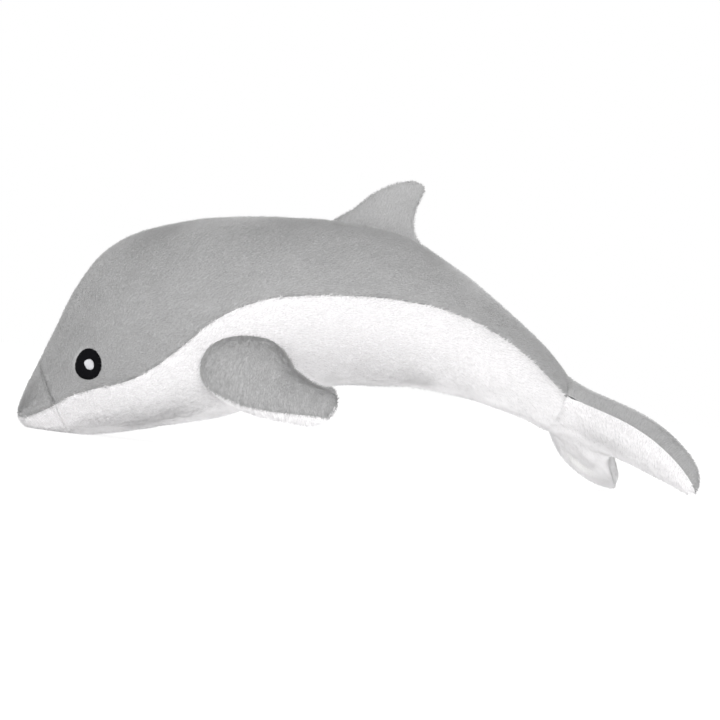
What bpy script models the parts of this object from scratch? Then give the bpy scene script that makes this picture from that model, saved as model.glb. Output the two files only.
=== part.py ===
"""Plush dolphin: sewn fabric panels over soft stuffing, lying on its chin and its tail flukes.

The nose points to -X, the tail to +X, and the toy's left side to -Y. Lengths are in metres.
"""
import math

import bmesh
import bpy
from mathutils import Matrix, Vector

# Cloth, seams and clearances
FABRIC = 0.0030
PRESSED_FABRIC = 0.0010
SEAM_GAP = 0.00035
STUFFING_CLEARANCE = 0.0005
ROOT_GAP = 0.0003
EDGE_ROUNDING = 0.0008

# Body
BODY_LENGTH = 0.3348
BACK_HEIGHT = 0.1504
BELLY_RISE = 0.0520
BODY_WIDTH = 0.1050
BODY_EGG = 0.06
NOSE_HEIGHT = 0.0092
NOSE_WIDTH = 0.0200
CHIN_FLAT_DEPTH = 0.0032
CHIN_SAG = 0.70
TAIL_SWING = 0.0200
TAIL_TWIST = 18.0
TAIL_ROOT_WIDTH = 0.0330
STUFFING_START = 0.0110
ROOT_CLEARANCE_SHARE = 0.02

# Dorsal fin
FIN_HEIGHT = 0.0300
FIN_BASE = 0.0480
FIN_THICKNESS = 0.0160
FIN_POSITION = 0.2060
FIN_ROOT_DEPTH = 0.0070
FIN_FABRIC = 0.0022

# Flippers
FLIPPER_LENGTH = 0.0620
FLIPPER_CHORD = 0.0430
FLIPPER_THICKNESS = 0.0360
FLIPPER_POSITION = 0.1350
FLIPPER_HEIGHT = 0.0520
FLIPPER_OUTSET = 0.0460
FLIPPER_SPLAY = 24.0
FLIPPER_DROOP = 18.0
FLIPPER_CANT = 22.0
FLIPPER_SEAM_ROLL = 44.0

# Flukes
FLUKE_LENGTH = 0.0860
FLUKE_HALF_SPAN = 0.0600
FLUKE_NOTCH = 0.0490
FLUKE_TOP_PUFF = 0.0185
FLUKE_UNDER_PUFF = 0.0105
FLUKE_TIP_ROLL = 3.8
FLUKE_FLAT_DEPTH = 0.0006

# Embroidered eyes
EYE_POSITION = 0.0437
EYE_HEIGHT = 0.0437
EYE_WIDTH = 0.0165
EYE_TALL = 0.0190
EYE_LIGHT_WIDTH = 0.0058
EYE_LIGHT_TALL = 0.0068
EYE_THREAD = 0.0008
EYE_SEAT = 0.0003

# Facets
BACK_SIDES = 7
BELLY_SIDES = 10
RINGS_PER_STATION = 2
SNOUT_STATION = 3
SNOUT_GAP_SHARE = 0.02
ENVELOPE_STATION = 0.6

# Body stations, nose to tail: back point along and up, belly point along and up, width, side seam
# in degrees above the middle, then sideways swing, twist and sag, each as a share of its named size
STATIONS = (
    (0.000, 0.000, 0.000, 0.000, 0.00, -5, 0.00, 0.00, 0.00),
    (0.002, 0.041, 0.010, 0.000, 0.27, -23, 0.00, 0.00, 0.40),
    (0.011, 0.126, 0.048, 0.000, 0.39, -13, 0.00, 0.00, 0.90),
    (0.027, 0.232, 0.108, 0.000, 0.52, -8, 0.00, 0.00, 1.00),
    (0.053, 0.406, 0.146, 0.022, 0.65, -17, 0.00, 0.00, 1.00),
    (0.079, 0.572, 0.179, 0.064, 0.76, -24, 0.00, 0.00, 1.00),
    (0.119, 0.729, 0.215, 0.123, 0.86, -29, 0.00, 0.00, 1.00),
    (0.177, 0.836, 0.260, 0.200, 0.94, -27, 0.00, 0.00, 0.90),
    (0.254, 0.903, 0.314, 0.300, 0.99, -16, 0.00, 0.00, 0.75),
    (0.337, 0.949, 0.368, 0.400, 1.00, -2, 0.00, 0.00, 0.50),
    (0.425, 0.974, 0.430, 0.590, 0.98, 5, 0.00, 0.00, 0.25),
    (0.509, 0.989, 0.500, 0.790, 0.93, 5, 0.00, 0.00, 0.10),
    (0.594, 0.988, 0.575, 0.930, 0.87, 5, 0.00, 0.00, 0.00),
    (0.677, 0.951, 0.659, 0.990, 0.79, 7, 0.03, 0.05, 0.00),
    (0.752, 0.864, 0.735, 1.000, 0.69, 11, 0.12, 0.20, 0.00),
    (0.825, 0.764, 0.805, 0.955, 0.58, 12, 0.29, 0.45, 0.00),
    (0.895, 0.650, 0.873, 0.870, 0.47, 8, 0.53, 0.70, 0.00),
    (0.957, 0.542, 0.928, 0.780, 0.38, 0, 0.80, 0.88, 0.00),
    (1.000, 0.440, 0.965, 0.676, 0.00, -3, 1.00, 1.00, 0.00),
)

# Dorsal fin rings, root to tip: height, leading edge, trailing edge and thickness shares
FIN_RINGS = (
    (0.00, -0.72, 0.56, 1.00),
    (0.18, -0.56, 0.47, 0.94),
    (0.40, -0.40, 0.46, 0.84),
    (0.60, -0.26, 0.48, 0.74),
    (0.76, -0.13, 0.52, 0.64),
    (0.88, 0.02, 0.55, 0.53),
    (0.96, 0.16, 0.52, 0.38),
    (1.00, 0.28, 0.44, 0.00),
)

# Flipper rings, root to tip: distance out, leading edge, trailing edge and thickness shares
FLIPPER_RINGS = (
    (-0.39, -0.19, 0.14, 0.55),
    (-0.29, -0.35, 0.33, 0.83),
    (-0.13, -0.45, 0.47, 1.00),
    (0.10, -0.52, 0.52, 1.00),
    (0.29, -0.55, 0.42, 0.80),
    (0.48, -0.50, 0.31, 0.66),
    (0.68, -0.41, 0.25, 0.57),
    (0.84, -0.33, 0.20, 0.47),
    (0.94, -0.23, 0.13, 0.32),
    (1.00, -0.11, 0.04, 0.00),
)

# Fluke outline, middle to tip: leading edge back and out, trailing edge back and out, as shares of
# the length behind the root and of the half span, then the lobe's thickness share
FLUKE_ROWS = (
    (0.00, 0.000, 0.00, 0.000, 0.00, 0.84),
    (0.28, 0.000, 0.00, 0.150, 0.20, 1.00),
    (0.42, 0.140, 0.25, 0.420, 0.38, 1.00),
    (0.56, 0.310, 0.54, 0.660, 0.56, 0.96),
    (0.70, 0.510, 0.78, 0.840, 0.72, 0.85),
    (0.84, 0.720, 0.94, 0.960, 0.86, 0.70),
    (0.94, 0.860, 1.00, 1.000, 0.94, 0.50),
    (1.00, 0.940, 1.00, 0.995, 0.97, 0.00),
)

# Colours, as linear red, green and blue
GREY_PLUSH = (0.40, 0.40, 0.41)
WHITE_PLUSH = (0.84, 0.83, 0.84)
BLACK_THREAD = (0.012, 0.012, 0.013)
SILVER_THREAD = (0.62, 0.63, 0.65)
FILL_COLOUR = (0.88, 0.88, 0.86)


def smooth_at(values, position):
    """Value of a smooth curve through evenly numbered values, at a fractional number."""
    last = len(values) - 1
    index = min(int(position), last - 1)
    share = position - index
    a = values[max(index - 1, 0)]
    b = values[index]
    c = values[index + 1]
    d = values[min(index + 2, last)]
    slope_b = (c - a) / 2 if index > 0 else c - b
    slope_c = (d - b) / 2 if index + 2 <= last else c - b
    square = share * share
    cube = square * share
    return ((2 * cube - 3 * square + 1) * b + (cube - 2 * square + share) * slope_b
            + (3 * square - 2 * cube) * c + (cube - square) * slope_c)


def column(rows, number):
    return [row[number] for row in rows]


class Ring:
    """One cross-section of a stuffed tube: a centre, a sideways and an upward half size."""

    def __init__(self, centre, side, up, half_side, half_up, egg=0.0, sag=0.0):
        self.centre = centre
        self.side = side
        self.up = up
        self.half_side = half_side
        self.half_up = half_up
        self.egg = egg
        self.sag = sag

    def point(self, degrees, inset=0.0):
        """Point on the section, with 0 degrees on the side and 90 on top, moved in by inset."""
        half_side = max(self.half_side - inset, 0.45 * self.half_side)
        half_up = max(self.half_up - inset, 0.45 * self.half_up)
        angle = math.radians(degrees)
        below = max(-math.sin(angle), 0.0)
        fullness = 1 - self.egg * math.sin(angle) + self.sag * below ** 3
        out = half_side * math.cos(angle) * fullness
        return self.centre + self.side * out + self.up * (half_up * math.sin(angle))


def body_points(station):
    """Back point and belly point of the body in its own upright plane."""
    back_x = smooth_at(column(STATIONS, 0), station) * BODY_LENGTH
    back_z = NOSE_HEIGHT + smooth_at(column(STATIONS, 1), station) * (BACK_HEIGHT - NOSE_HEIGHT)
    belly_x = smooth_at(column(STATIONS, 2), station) * BODY_LENGTH
    chin = [NOSE_HEIGHT, 0.22 * NOSE_HEIGHT, -CHIN_FLAT_DEPTH, -CHIN_FLAT_DEPTH]
    belly = chin + [share * BELLY_RISE for share in column(STATIONS, 3)[4:]]
    return Vector((back_x, 0, back_z)), Vector((belly_x, 0, smooth_at(belly, station)))


def body_middle(station):
    back, belly = body_points(station)
    swing = smooth_at(column(STATIONS, 6), station) * TAIL_SWING
    return (back + belly) / 2 + Vector((0, swing, 0))


def body_ring(station):
    """The body's section at a station, turned with the tail's swing and twist."""
    last = len(STATIONS) - 1
    back, belly = body_points(station)
    ahead = body_middle(min(station + 0.02, last)) - body_middle(max(station - 0.02, 0))
    yaw = math.atan2(ahead.y, ahead.x)
    turn = Matrix.Rotation(yaw, 3, 'Z')
    upright = back - belly
    half_up = upright.length / 2
    up = (turn @ upright.normalized()) if half_up > 1e-7 else Vector((0, 0, 1))
    side = turn @ Vector((0, -1, 0))
    twist = math.radians(smooth_at(column(STATIONS, 7), station) * TAIL_TWIST)
    rolled_side = side * math.cos(twist) + up * math.sin(twist)
    rolled_up = up * math.cos(twist) - side * math.sin(twist)
    widths = [share * BODY_WIDTH for share in column(STATIONS, 4)]
    widths[0] = NOSE_WIDTH
    widths[last] = TAIL_ROOT_WIDTH
    sag = smooth_at(column(STATIONS, 8), station) * CHIN_SAG
    return Ring(body_middle(station), rolled_side, rolled_up, smooth_at(widths, station) / 2,
                half_up, BODY_EGG, sag)


def seam_angle(station):
    return smooth_at(column(STATIONS, 5), station)


def spread(first, last, count):
    return [first + (last - first) * number / count for number in range(count + 1)]


def arc_angles(piece, station):
    """Angles round one panel's part of the section, at a station."""
    seam = seam_angle(station)
    if piece == 'left':
        return spread(seam, 90, BACK_SIDES)
    if piece == 'right':
        return spread(90, 180 - seam, BACK_SIDES)
    if piece == 'top':
        return spread(seam, 90, BACK_SIDES) + spread(90, 180 - seam, BACK_SIDES)[1:]
    if piece == 'under':
        return spread(-180 - seam, seam, BELLY_SIDES)
    return arc_angles('top', station) + arc_angles('under', station)[1:-1]


def make_object(name, points, faces, material, collection):
    mesh = bpy.data.meshes.new(name)
    mesh.from_pydata([tuple(point) for point in points], [], faces)
    work = bmesh.new()
    work.from_mesh(mesh)
    bmesh.ops.remove_doubles(work, verts=work.verts, dist=1e-7)
    bmesh.ops.dissolve_degenerate(work, edges=work.edges, dist=1e-7)
    bmesh.ops.triangulate(work, faces=work.faces)
    bmesh.ops.recalc_face_normals(work, faces=work.faces)
    work.to_mesh(mesh)
    work.free()
    mesh.shade_smooth()
    mesh.set_sharp_from_angle(angle=math.radians(50))
    made = bpy.data.objects.new(name, mesh)
    if material:
        mesh.materials.append(material)
    collection.objects.link(made)
    return made


def grid_faces(rows, columns, start=0, closed=False):
    faces = []
    for row in range(rows - 1):
        for number in range(columns if closed else columns - 1):
            following = (number + 1) % columns
            faces.append((start + row * columns + number, start + row * columns + following,
                          start + (row + 1) * columns + following,
                          start + (row + 1) * columns + number))
    return faces


def shell_from_grids(outer, inner):
    """Closed panel between two grids of points of the same size."""
    rows = len(outer)
    columns = len(outer[0])
    points = [point for row in outer for point in row] + [point for row in inner for point in row]
    half = rows * columns
    faces = grid_faces(rows, columns) + grid_faces(rows, columns, half)
    border = [(0, number) for number in range(columns)]
    border += [(row, columns - 1) for row in range(1, rows)]
    border += [(rows - 1, number) for number in range(columns - 2, -1, -1)]
    border += [(row, 0) for row in range(rows - 2, 0, -1)]
    for number, (row, place) in enumerate(border):
        next_row, next_place = border[(number + 1) % len(border)]
        first = row * columns + place
        second = next_row * columns + next_place
        faces.append((first, second, second + half, first + half))
    return points, faces


def solid_from_loops(loops):
    """Closed solid through a row of closed loops, capped at both ends."""
    columns = len(loops[0])
    points = [point for loop in loops for point in loop]
    faces = grid_faces(len(loops), columns, 0, True)
    for loop, start in ((loops[0], 0), (loops[-1], (len(loops) - 1) * columns)):
        middle = sum(loop, Vector()) / columns
        points.append(middle)
        for number in range(columns):
            faces.append((start + number, start + (number + 1) % columns, len(points) - 1))
    return points, faces


def on_floor(point, above=0.0):
    """The toy's weight flattens it where it meets the floor, or a height above the floor."""
    return Vector((point.x, point.y, max(point.z, above)))


def body_panel(piece, first, last, count, shift, nose=False):
    """One sewn panel of the body between two stations: outer face, inner face and rim."""
    outer = []
    inner = []
    step = FABRIC / 0.006 * 0.5 if nose else 0.0
    for number in range(count + 1):
        share = number / count
        share = share ** 1.5 if nose else share
        station = first + (last - first) * share
        inner_station = first + step + (last - first - step) * share
        ring = body_ring(station)
        inner_ring = body_ring(inner_station)
        move = ring.side * shift[0] + ring.up * shift[1]
        outer.append([on_floor(ring.point(angle) + move) for angle in arc_angles(piece, station)])
        move = inner_ring.side * shift[0] + inner_ring.up * shift[1]
        inner.append([on_floor(inner_ring.point(angle, FABRIC) + move, PRESSED_FABRIC)
                      for angle in arc_angles(piece, inner_station)])
    return shell_from_grids(outer, inner)


def body_solid(first, last, count, inset, above):
    """The whole body moved in by inset, with its lowest face a height above the floor."""
    loops = []
    for station in spread(first, last, count):
        ring = body_ring(station)
        loops.append([on_floor(ring.point(angle, inset), above)
                      for angle in arc_angles('all', station)])
    return solid_from_loops(loops)


def pocket_rings(rows, place, count):
    """Rings of a flat stuffed pocket, sampled more closely towards its tip."""
    rings = []
    last = len(rows) - 1
    for number in range(count + 1):
        share = 1 - (1 - number / count) ** 1.35
        rings.append(place([smooth_at(column(rows, part), share * last) for part in range(4)]))
    return rings


def pocket_panel(rings, arcs, wall, shift):
    """One side of a flat pocket: the inner face stops a wall short of the tip."""
    outer = [[ring.point(angle) + ring.up * shift for angle in angles]
             for ring, angles in zip(rings, arcs)]
    inner = [[ring.point(angle, wall) + ring.up * shift for angle in angles]
             for ring, angles in zip(rings, arcs)]
    reach = (outer[-2][0] - outer[-1][0]).length
    back = (rings[-3].centre - rings[-1].centre).normalized() * min(wall, 0.6 * reach + wall * 0.4)
    tip = rings[-2]
    inner[-1] = [tip.centre + (point - tip.centre) * 0.55 - back * 0.1 for point in inner[-2]]
    return shell_from_grids(outer, inner)


def pocket_solid(rings, wall, keep):
    loops = [[ring.point(angle, wall) for angle in spread(0, 360, 16)[:-1]]
             for ring in rings[:keep]]
    return solid_from_loops(loops)


def station_at(along, pick):
    """Station where the body's back (0) or belly (1) line reaches a distance from the nose."""
    low, high = 0.0, len(STATIONS) - 1.0
    for _ in range(40):
        middle = (low + high) / 2
        if body_points(middle)[pick].x < along:
            low = middle
        else:
            high = middle
    return (low + high) / 2


def fin_rings():
    back = body_points(station_at(FIN_POSITION, 0))[0]
    base = back - Vector((0, 0, FIN_ROOT_DEPTH))
    rise = FIN_HEIGHT + FIN_ROOT_DEPTH

    def place(shares):
        height, front, rear, thick = shares
        middle = base + Vector(((front + rear) / 2 * FIN_BASE, 0, height * rise))
        return Ring(middle, Vector((1, 0, 0)), Vector((0, -1, 0)), (rear - front) / 2 * FIN_BASE,
                    max(thick, 0.0) * FIN_THICKNESS / 2)

    return pocket_rings(FIN_RINGS, place, 11)


def flipper_rings(sign):
    """Rings of a flipper; sign is 1 for the left one and -1 for the right one."""
    splay = math.radians(FLIPPER_SPLAY)
    droop = math.radians(FLIPPER_DROOP)
    out = Vector((math.cos(splay) * math.cos(droop), -math.sin(splay) * math.cos(droop),
                  -math.sin(droop)))
    cant = math.radians(FLIPPER_CANT)
    face = Vector((0, -math.cos(cant), math.sin(cant)))
    face = (face - out * face.dot(out)).normalized()
    chord = -out.cross(face)
    root = Vector((FLIPPER_POSITION, -FLIPPER_OUTSET, FLIPPER_HEIGHT))

    def flip(vector):
        return Vector((vector.x, vector.y * sign, vector.z))

    def place(shares):
        away, front, rear, thick = shares
        middle = root + out * (away * FLIPPER_LENGTH) + chord * ((front + rear) / 2 * FLIPPER_CHORD)
        return Ring(flip(middle), flip(chord), flip(face), (rear - front) / 2 * FLIPPER_CHORD,
                    max(thick, 0.0) * FLIPPER_THICKNESS / 2)

    return pocket_rings(FLIPPER_RINGS, place, 15)


class Fluke:
    """The two lobes as one sheet of columns from the root and leading edge to the trailing edge."""

    ROOT_SHARE = 0.28

    def __init__(self):
        last = len(STATIONS) - 1
        self.ring = body_ring(last)
        forward = self.ring.side.cross(self.ring.up).normalized()
        if forward.x < 0:
            forward.negate()
        self.start = self.ring.centre + forward * ROOT_GAP
        self.yaw = math.atan2(forward.y, forward.x)
        self.root_slope = math.asin(-forward.z)
        self.shares = column(FLUKE_ROWS, 0)
        low, high = 5.0, 75.0
        for _ in range(30):
            self.slope = (low + high) / 2
            lowest = min(self.point(side * t, v, -1, self.height(t, v, -1)).z
                         for side in (1, -1) for t in spread(0.3, 1, 14) for v in spread(0, 1, 8))
            if lowest > -FLUKE_FLAT_DEPTH:
                low = self.slope
            else:
                high = self.slope

    def row(self, t, number):
        """Smooth value of one column of the outline at a share t of the way to the tip."""
        index = 0
        while index < len(self.shares) - 2 and t > self.shares[index + 1]:
            index += 1
        share = (t - self.shares[index]) / (self.shares[index + 1] - self.shares[index])
        return smooth_at(column(FLUKE_ROWS, number), index + share)

    def outline(self, t, v):
        root = self.ring.half_side
        reach = FLUKE_HALF_SPAN - root
        front_x = max(self.row(t, 1), 0.0) * FLUKE_LENGTH
        if t <= self.ROOT_SHARE:
            front_x = 0.0
            front_y = root * t / self.ROOT_SHARE
        else:
            front_y = root + self.row(t, 2) * reach
        rear_x = FLUKE_NOTCH + self.row(t, 3) * (FLUKE_LENGTH - FLUKE_NOTCH)
        rear_y = self.row(t, 4) * FLUKE_HALF_SPAN
        return front_x + (rear_x - front_x) * v, front_y + (rear_y - front_y) * v

    def height(self, t, v, face):
        lobe = max(self.row(t, 5), 0.0) * (FLUKE_TOP_PUFF if face > 0 else FLUKE_UNDER_PUFF)
        lobe *= math.sqrt(max(4 * v * (1 - v), 0.0))
        share = min(t / self.ROOT_SHARE, 1.0)
        stem = self.ring.half_up * math.sqrt(1 - share * share) * (1 - v) ** 1.6
        return math.hypot(lobe, stem)

    def frame(self, back):
        """Backward, left and upward directions a given distance behind the root."""
        share = min(max(back / FLUKE_LENGTH, 0.0), 1.0)
        roll = math.radians(TAIL_TWIST + (FLUKE_TIP_ROLL - TAIL_TWIST) * share ** 2.2)
        turn = Matrix.Rotation(self.yaw, 3, 'Z')
        slope = math.radians(self.slope)
        axis = turn @ Vector((math.cos(slope), 0, -math.sin(slope)))
        bend = self.root_slope + (slope - self.root_slope) * min(4 * share, 1.0)
        normal = turn @ Vector((math.sin(bend), 0, math.cos(bend)))
        left = turn @ Vector((0, -1, 0))
        return (axis, left * math.cos(roll) + normal * math.sin(roll),
                normal * math.cos(roll) - left * math.sin(roll))

    def point(self, u, v, face, height):
        """Point on the top (face 1) or under (face -1) side, at a height off the seam's sheet."""
        back, out = self.outline(abs(u), v)
        axis, left, normal = self.frame(back)
        return (self.start + axis * back + left * math.copysign(out, u)
                + normal * (face * height))

    def columns(self, lobe_columns=10, root_columns=8):
        """Shares across both lobes, with one column at each corner of the root."""
        lobe = [self.ROOT_SHARE + (1 - self.ROOT_SHARE) * math.sin(math.radians(angle))
                for angle in spread(0, 90, lobe_columns)]
        root = [self.ROOT_SHARE * math.sin(math.radians(angle))
                for angle in spread(-90, 90, root_columns)]
        return [-share for share in reversed(lobe)] + root[1:-1] + lobe

    def rows(self):
        return [0.5 - 0.5 * math.cos(math.pi * share) for share in spread(0, 1, 9)]

    def panel(self, face):
        outer = []
        inner = []
        shift = SEAM_GAP / 2
        for v in self.rows():
            heights = [self.height(abs(u), v, face) for u in self.columns()]
            outer.append([on_floor(self.point(u, v, face, math.hypot(height, EDGE_ROUNDING) + shift))
                          for u, height in zip(self.columns(), heights)])
            inner.append([self.point(u, v, face, max(height - FABRIC, 0.0) + shift)
                          for u, height in zip(self.columns(), heights)])
        return shell_from_grids(outer, inner)

    def stuffing(self):
        """Filling of both lobes, away from the seams where the two cloths meet."""
        inset = FABRIC + STUFFING_CLEARANCE
        columns = [u for u in self.columns() if abs(u) < 0.87]
        sides = []
        for face in (1, -1):
            sides.append([[self.point(u, v, face, self.height(abs(u), v, face) - inset)
                           for u in columns] for v in self.rows()[2:-2]])
        return shell_from_grids(sides[0], sides[1])


def surface(station, angle, raise_by):
    """Point and outward direction on the body's smooth surface."""
    ring = body_ring(station)
    spot = ring.point(angle)
    along = body_ring(station + 0.05).point(angle) - body_ring(station - 0.05).point(angle)
    around = ring.point(angle + 1) - ring.point(angle - 1)
    normal = along.cross(around).normalized()
    if normal.dot(spot - ring.centre) < 0:
        normal.negate()
    return spot + normal * raise_by


def eye_seat():
    """Station and angle of the left eye's centre, found from its place and height."""
    station = 4.0
    angle = 0.0
    for _ in range(60):
        spot = surface(station, angle, 0)
        station += (EYE_POSITION - spot.x) * 40
        angle += (EYE_HEIGHT - spot.z) * 400
    return station, angle


def eye_patch(name, sign, inner, outer, material, collection):
    """Embroidered oval lying on the head; inner is the size of its hole, or None."""
    station, angle = eye_seat()
    centre = surface(station, angle, 0)
    per_station = (surface(station + 0.05, angle, 0) - centre) / 0.05
    per_degree = surface(station, angle + 1, 0) - centre
    sides = 20
    rings = [0.0, 0.55, 1.0] if inner is None else [0.0, 0.5, 1.0]
    layers = []
    for raise_by in (EYE_SEAT, EYE_SEAT + EYE_THREAD):
        layer = []
        for share in rings:
            loop = []
            for number in range(sides):
                turn = 2 * math.pi * number / sides
                low = inner or (0.0, 0.0)
                wide = low[0] + (outer[0] - low[0]) * share
                tall = low[1] + (outer[1] - low[1]) * share
                move_x = wide / 2 * math.cos(turn)
                move_z = tall / 2 * math.sin(turn)
                step = (move_x * per_degree.z - move_z * per_degree.x)
                whole = per_station.x * per_degree.z - per_station.z * per_degree.x
                turned = (per_station.x * move_z - per_station.z * move_x)
                spot = surface(station + step / whole, angle + turned / whole, raise_by)
                loop.append(Vector((spot.x, spot.y * sign, spot.z)))
            layer.append(loop)
        layers.append(layer)
    if inner is None:
        loops = layers[0] + layers[1][::-1]
        points = [point for loop in loops for point in loop]
        faces = grid_faces(len(loops), sides, 0, True)
    else:
        loops = layers[0] + layers[1][::-1] + [layers[0][0]]
        points = [point for loop in loops for point in loop]
        faces = grid_faces(len(loops), sides, 0, True)
    return make_object(name, points, faces, material, collection)


def fabric_material(name, colour, roughness):
    made = bpy.data.materials.new(name)
    made.use_nodes = True
    shader = made.node_tree.nodes['Principled BSDF']
    shader.inputs['Base Color'].default_value = (*colour, 1)
    shader.inputs['Roughness'].default_value = roughness
    shader.inputs['Metallic'].default_value = 0.0
    made.diffuse_color = (*colour, 1)
    return made


def cut_by(target, cutter):
    cut = target.modifiers.new('Sewn to body', 'BOOLEAN')
    cut.operation = 'DIFFERENCE'
    cut.solver = 'EXACT'
    cut.object = cutter


def build():
    for item in list(bpy.data.objects):
        bpy.data.objects.remove(item, do_unlink=True)
    parts = bpy.data.collections.new('plush_dolphin')
    tools = bpy.data.collections.new('cutters')
    bpy.context.scene.collection.children.link(parts)
    bpy.context.scene.collection.children.link(tools)

    grey = fabric_material('grey plush', GREY_PLUSH, 0.95)
    white = fabric_material('white plush', WHITE_PLUSH, 0.95)
    black = fabric_material('black thread', BLACK_THREAD, 0.55)
    silver = fabric_material('silver thread', SILVER_THREAD, 0.5)
    fill = fabric_material('stuffing', FILL_COLOUR, 1.0)

    half = SEAM_GAP / 2
    last = len(STATIONS) - 1
    rings = RINGS_PER_STATION * (last - SNOUT_STATION)
    snout_end = SNOUT_STATION - SNOUT_GAP_SHARE / 2
    body_start = SNOUT_STATION + SNOUT_GAP_SHARE / 2
    for name, piece, first, end, count, shift, material, nose in (
            ('snout_top', 'top', 0, snout_end, 9, (0, half), grey, True),
            ('snout_under', 'under', 0, snout_end, 9, (0, -half), white, True),
            ('back_left', 'left', body_start, last, rings, (half, half), grey, False),
            ('back_right', 'right', body_start, last, rings, (-half, half), grey, False),
            ('belly', 'under', body_start, last, rings, (0, -half), white, False)):
        points, faces = body_panel(piece, first, end, count, shift, nose)
        make_object(name, points, faces, material, parts)

    inset = FABRIC + STUFFING_CLEARANCE
    start = station_at(STUFFING_START, 1)
    points, faces = body_solid(start, last - ROOT_CLEARANCE_SHARE, rings + 4, inset,
                               PRESSED_FABRIC + STUFFING_CLEARANCE)
    make_object('body_stuffing', points, faces, fill, parts)

    points, faces = body_solid(ENVELOPE_STATION, last, rings + 6, -ROOT_GAP - half,
                               -CHIN_FLAT_DEPTH)
    envelope = make_object('body_envelope', points, faces, None, tools)
    envelope.hide_render = True
    envelope.display_type = 'WIRE'

    fin = fin_rings()
    fin_inset = FIN_FABRIC + STUFFING_CLEARANCE
    sewn = []
    for name, first, shift in (('dorsal_fin_left', 0, half), ('dorsal_fin_right', -180, -half)):
        arcs = [spread(first, first + 180, 8)] * len(fin)
        points, faces = pocket_panel(fin, arcs, FIN_FABRIC, shift)
        sewn.append(make_object(name, points, faces, grey, parts))
    points, faces = pocket_solid(fin, fin_inset, len(fin) - 3)
    sewn.append(make_object('fin_stuffing', points, faces, fill, parts))

    for label, sign in (('left', 1), ('right', -1)):
        flipper = flipper_rings(sign)
        seams = [180 - FLIPPER_SEAM_ROLL * min(max(2 * share - 0.35, 0.0), 1.0)
                 for share in spread(0, 1, len(flipper) - 1)]
        for name, arcs, shift, material in (
                ('top', [spread(0, seam, 8) for seam in seams], half, grey),
                ('under', [spread(seam - 360, 0, 9) for seam in seams], -half, white)):
            points, faces = pocket_panel(flipper, arcs, FABRIC, shift)
            sewn.append(make_object(f'flipper_{label}_{name}', points, faces, material, parts))
        points, faces = pocket_solid(flipper, inset, len(flipper) - 3)
        sewn.append(make_object(f'flipper_{label}_stuffing', points, faces, fill, parts))
    for piece in sewn:
        cut_by(piece, envelope)

    fluke = Fluke()
    for name, face, material in (('fluke_top', 1, grey), ('fluke_under', -1, white)):
        points, faces = fluke.panel(face)
        make_object(name, points, faces, material, parts)
    points, faces = fluke.stuffing()
    make_object('fluke_stuffing', points, faces, fill, parts)

    light = (EYE_LIGHT_WIDTH, EYE_LIGHT_TALL)
    hole = (EYE_LIGHT_WIDTH + 2 * EYE_SEAT, EYE_LIGHT_TALL + 2 * EYE_SEAT)
    for label, sign in (('left', 1), ('right', -1)):
        eye_patch(f'eye_ring_{label}', sign, hole, (EYE_WIDTH, EYE_TALL), black, parts)
        eye_patch(f'eye_light_{label}', sign, None, light, silver, parts)

    # The origin is under the middle of the toy, on the floor
    bpy.context.view_layer.update()
    graph = bpy.context.evaluated_depsgraph_get()
    corners = [vertex.co.copy() for item in parts.objects
               for vertex in item.evaluated_get(graph).data.vertices]
    middle_x = (min(co.x for co in corners) + max(co.x for co in corners)) / 2
    middle_y = (min(co.y for co in corners) + max(co.y for co in corners)) / 2
    base = bpy.data.objects.new('dolphin', None)
    parts.objects.link(base)
    for item in list(parts.objects) + list(tools.objects):
        if item is not base:
            item.parent = base
    base.location = (-middle_x, -middle_y, 0)


build()
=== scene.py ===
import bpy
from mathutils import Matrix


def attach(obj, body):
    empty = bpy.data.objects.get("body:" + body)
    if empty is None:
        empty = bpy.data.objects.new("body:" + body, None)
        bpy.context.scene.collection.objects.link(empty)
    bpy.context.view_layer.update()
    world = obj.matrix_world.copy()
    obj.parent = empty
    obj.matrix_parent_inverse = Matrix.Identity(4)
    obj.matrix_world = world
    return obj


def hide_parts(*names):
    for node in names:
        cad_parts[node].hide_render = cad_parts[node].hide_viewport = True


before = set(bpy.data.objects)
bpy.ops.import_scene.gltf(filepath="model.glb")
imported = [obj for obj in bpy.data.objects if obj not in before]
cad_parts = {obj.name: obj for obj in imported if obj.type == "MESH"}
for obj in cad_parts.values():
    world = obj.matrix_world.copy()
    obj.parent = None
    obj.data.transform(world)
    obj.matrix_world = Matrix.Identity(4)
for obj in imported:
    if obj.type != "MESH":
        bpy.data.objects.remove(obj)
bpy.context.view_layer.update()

import copy
import math

import bmesh
import bpy
import numpy as np
from bpy.props import FloatProperty, FloatVectorProperty, IntProperty, PointerProperty
from mathutils import Matrix, Vector, noise
from mathutils.bvhtree import BVHTree
from mathutils.kdtree import KDTree

bl_info = {
    "name": "Plush dolphin",
    "version": (1, 0, 0),
    "blender": (4, 5, 0),
    "location": "View3D > Sidebar > Dolphin",
    "description": "Sewn panels, pile, embroidery and stuffing of a plush dolphin",
    "category": "Object",
}

BODY = "root"

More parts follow.
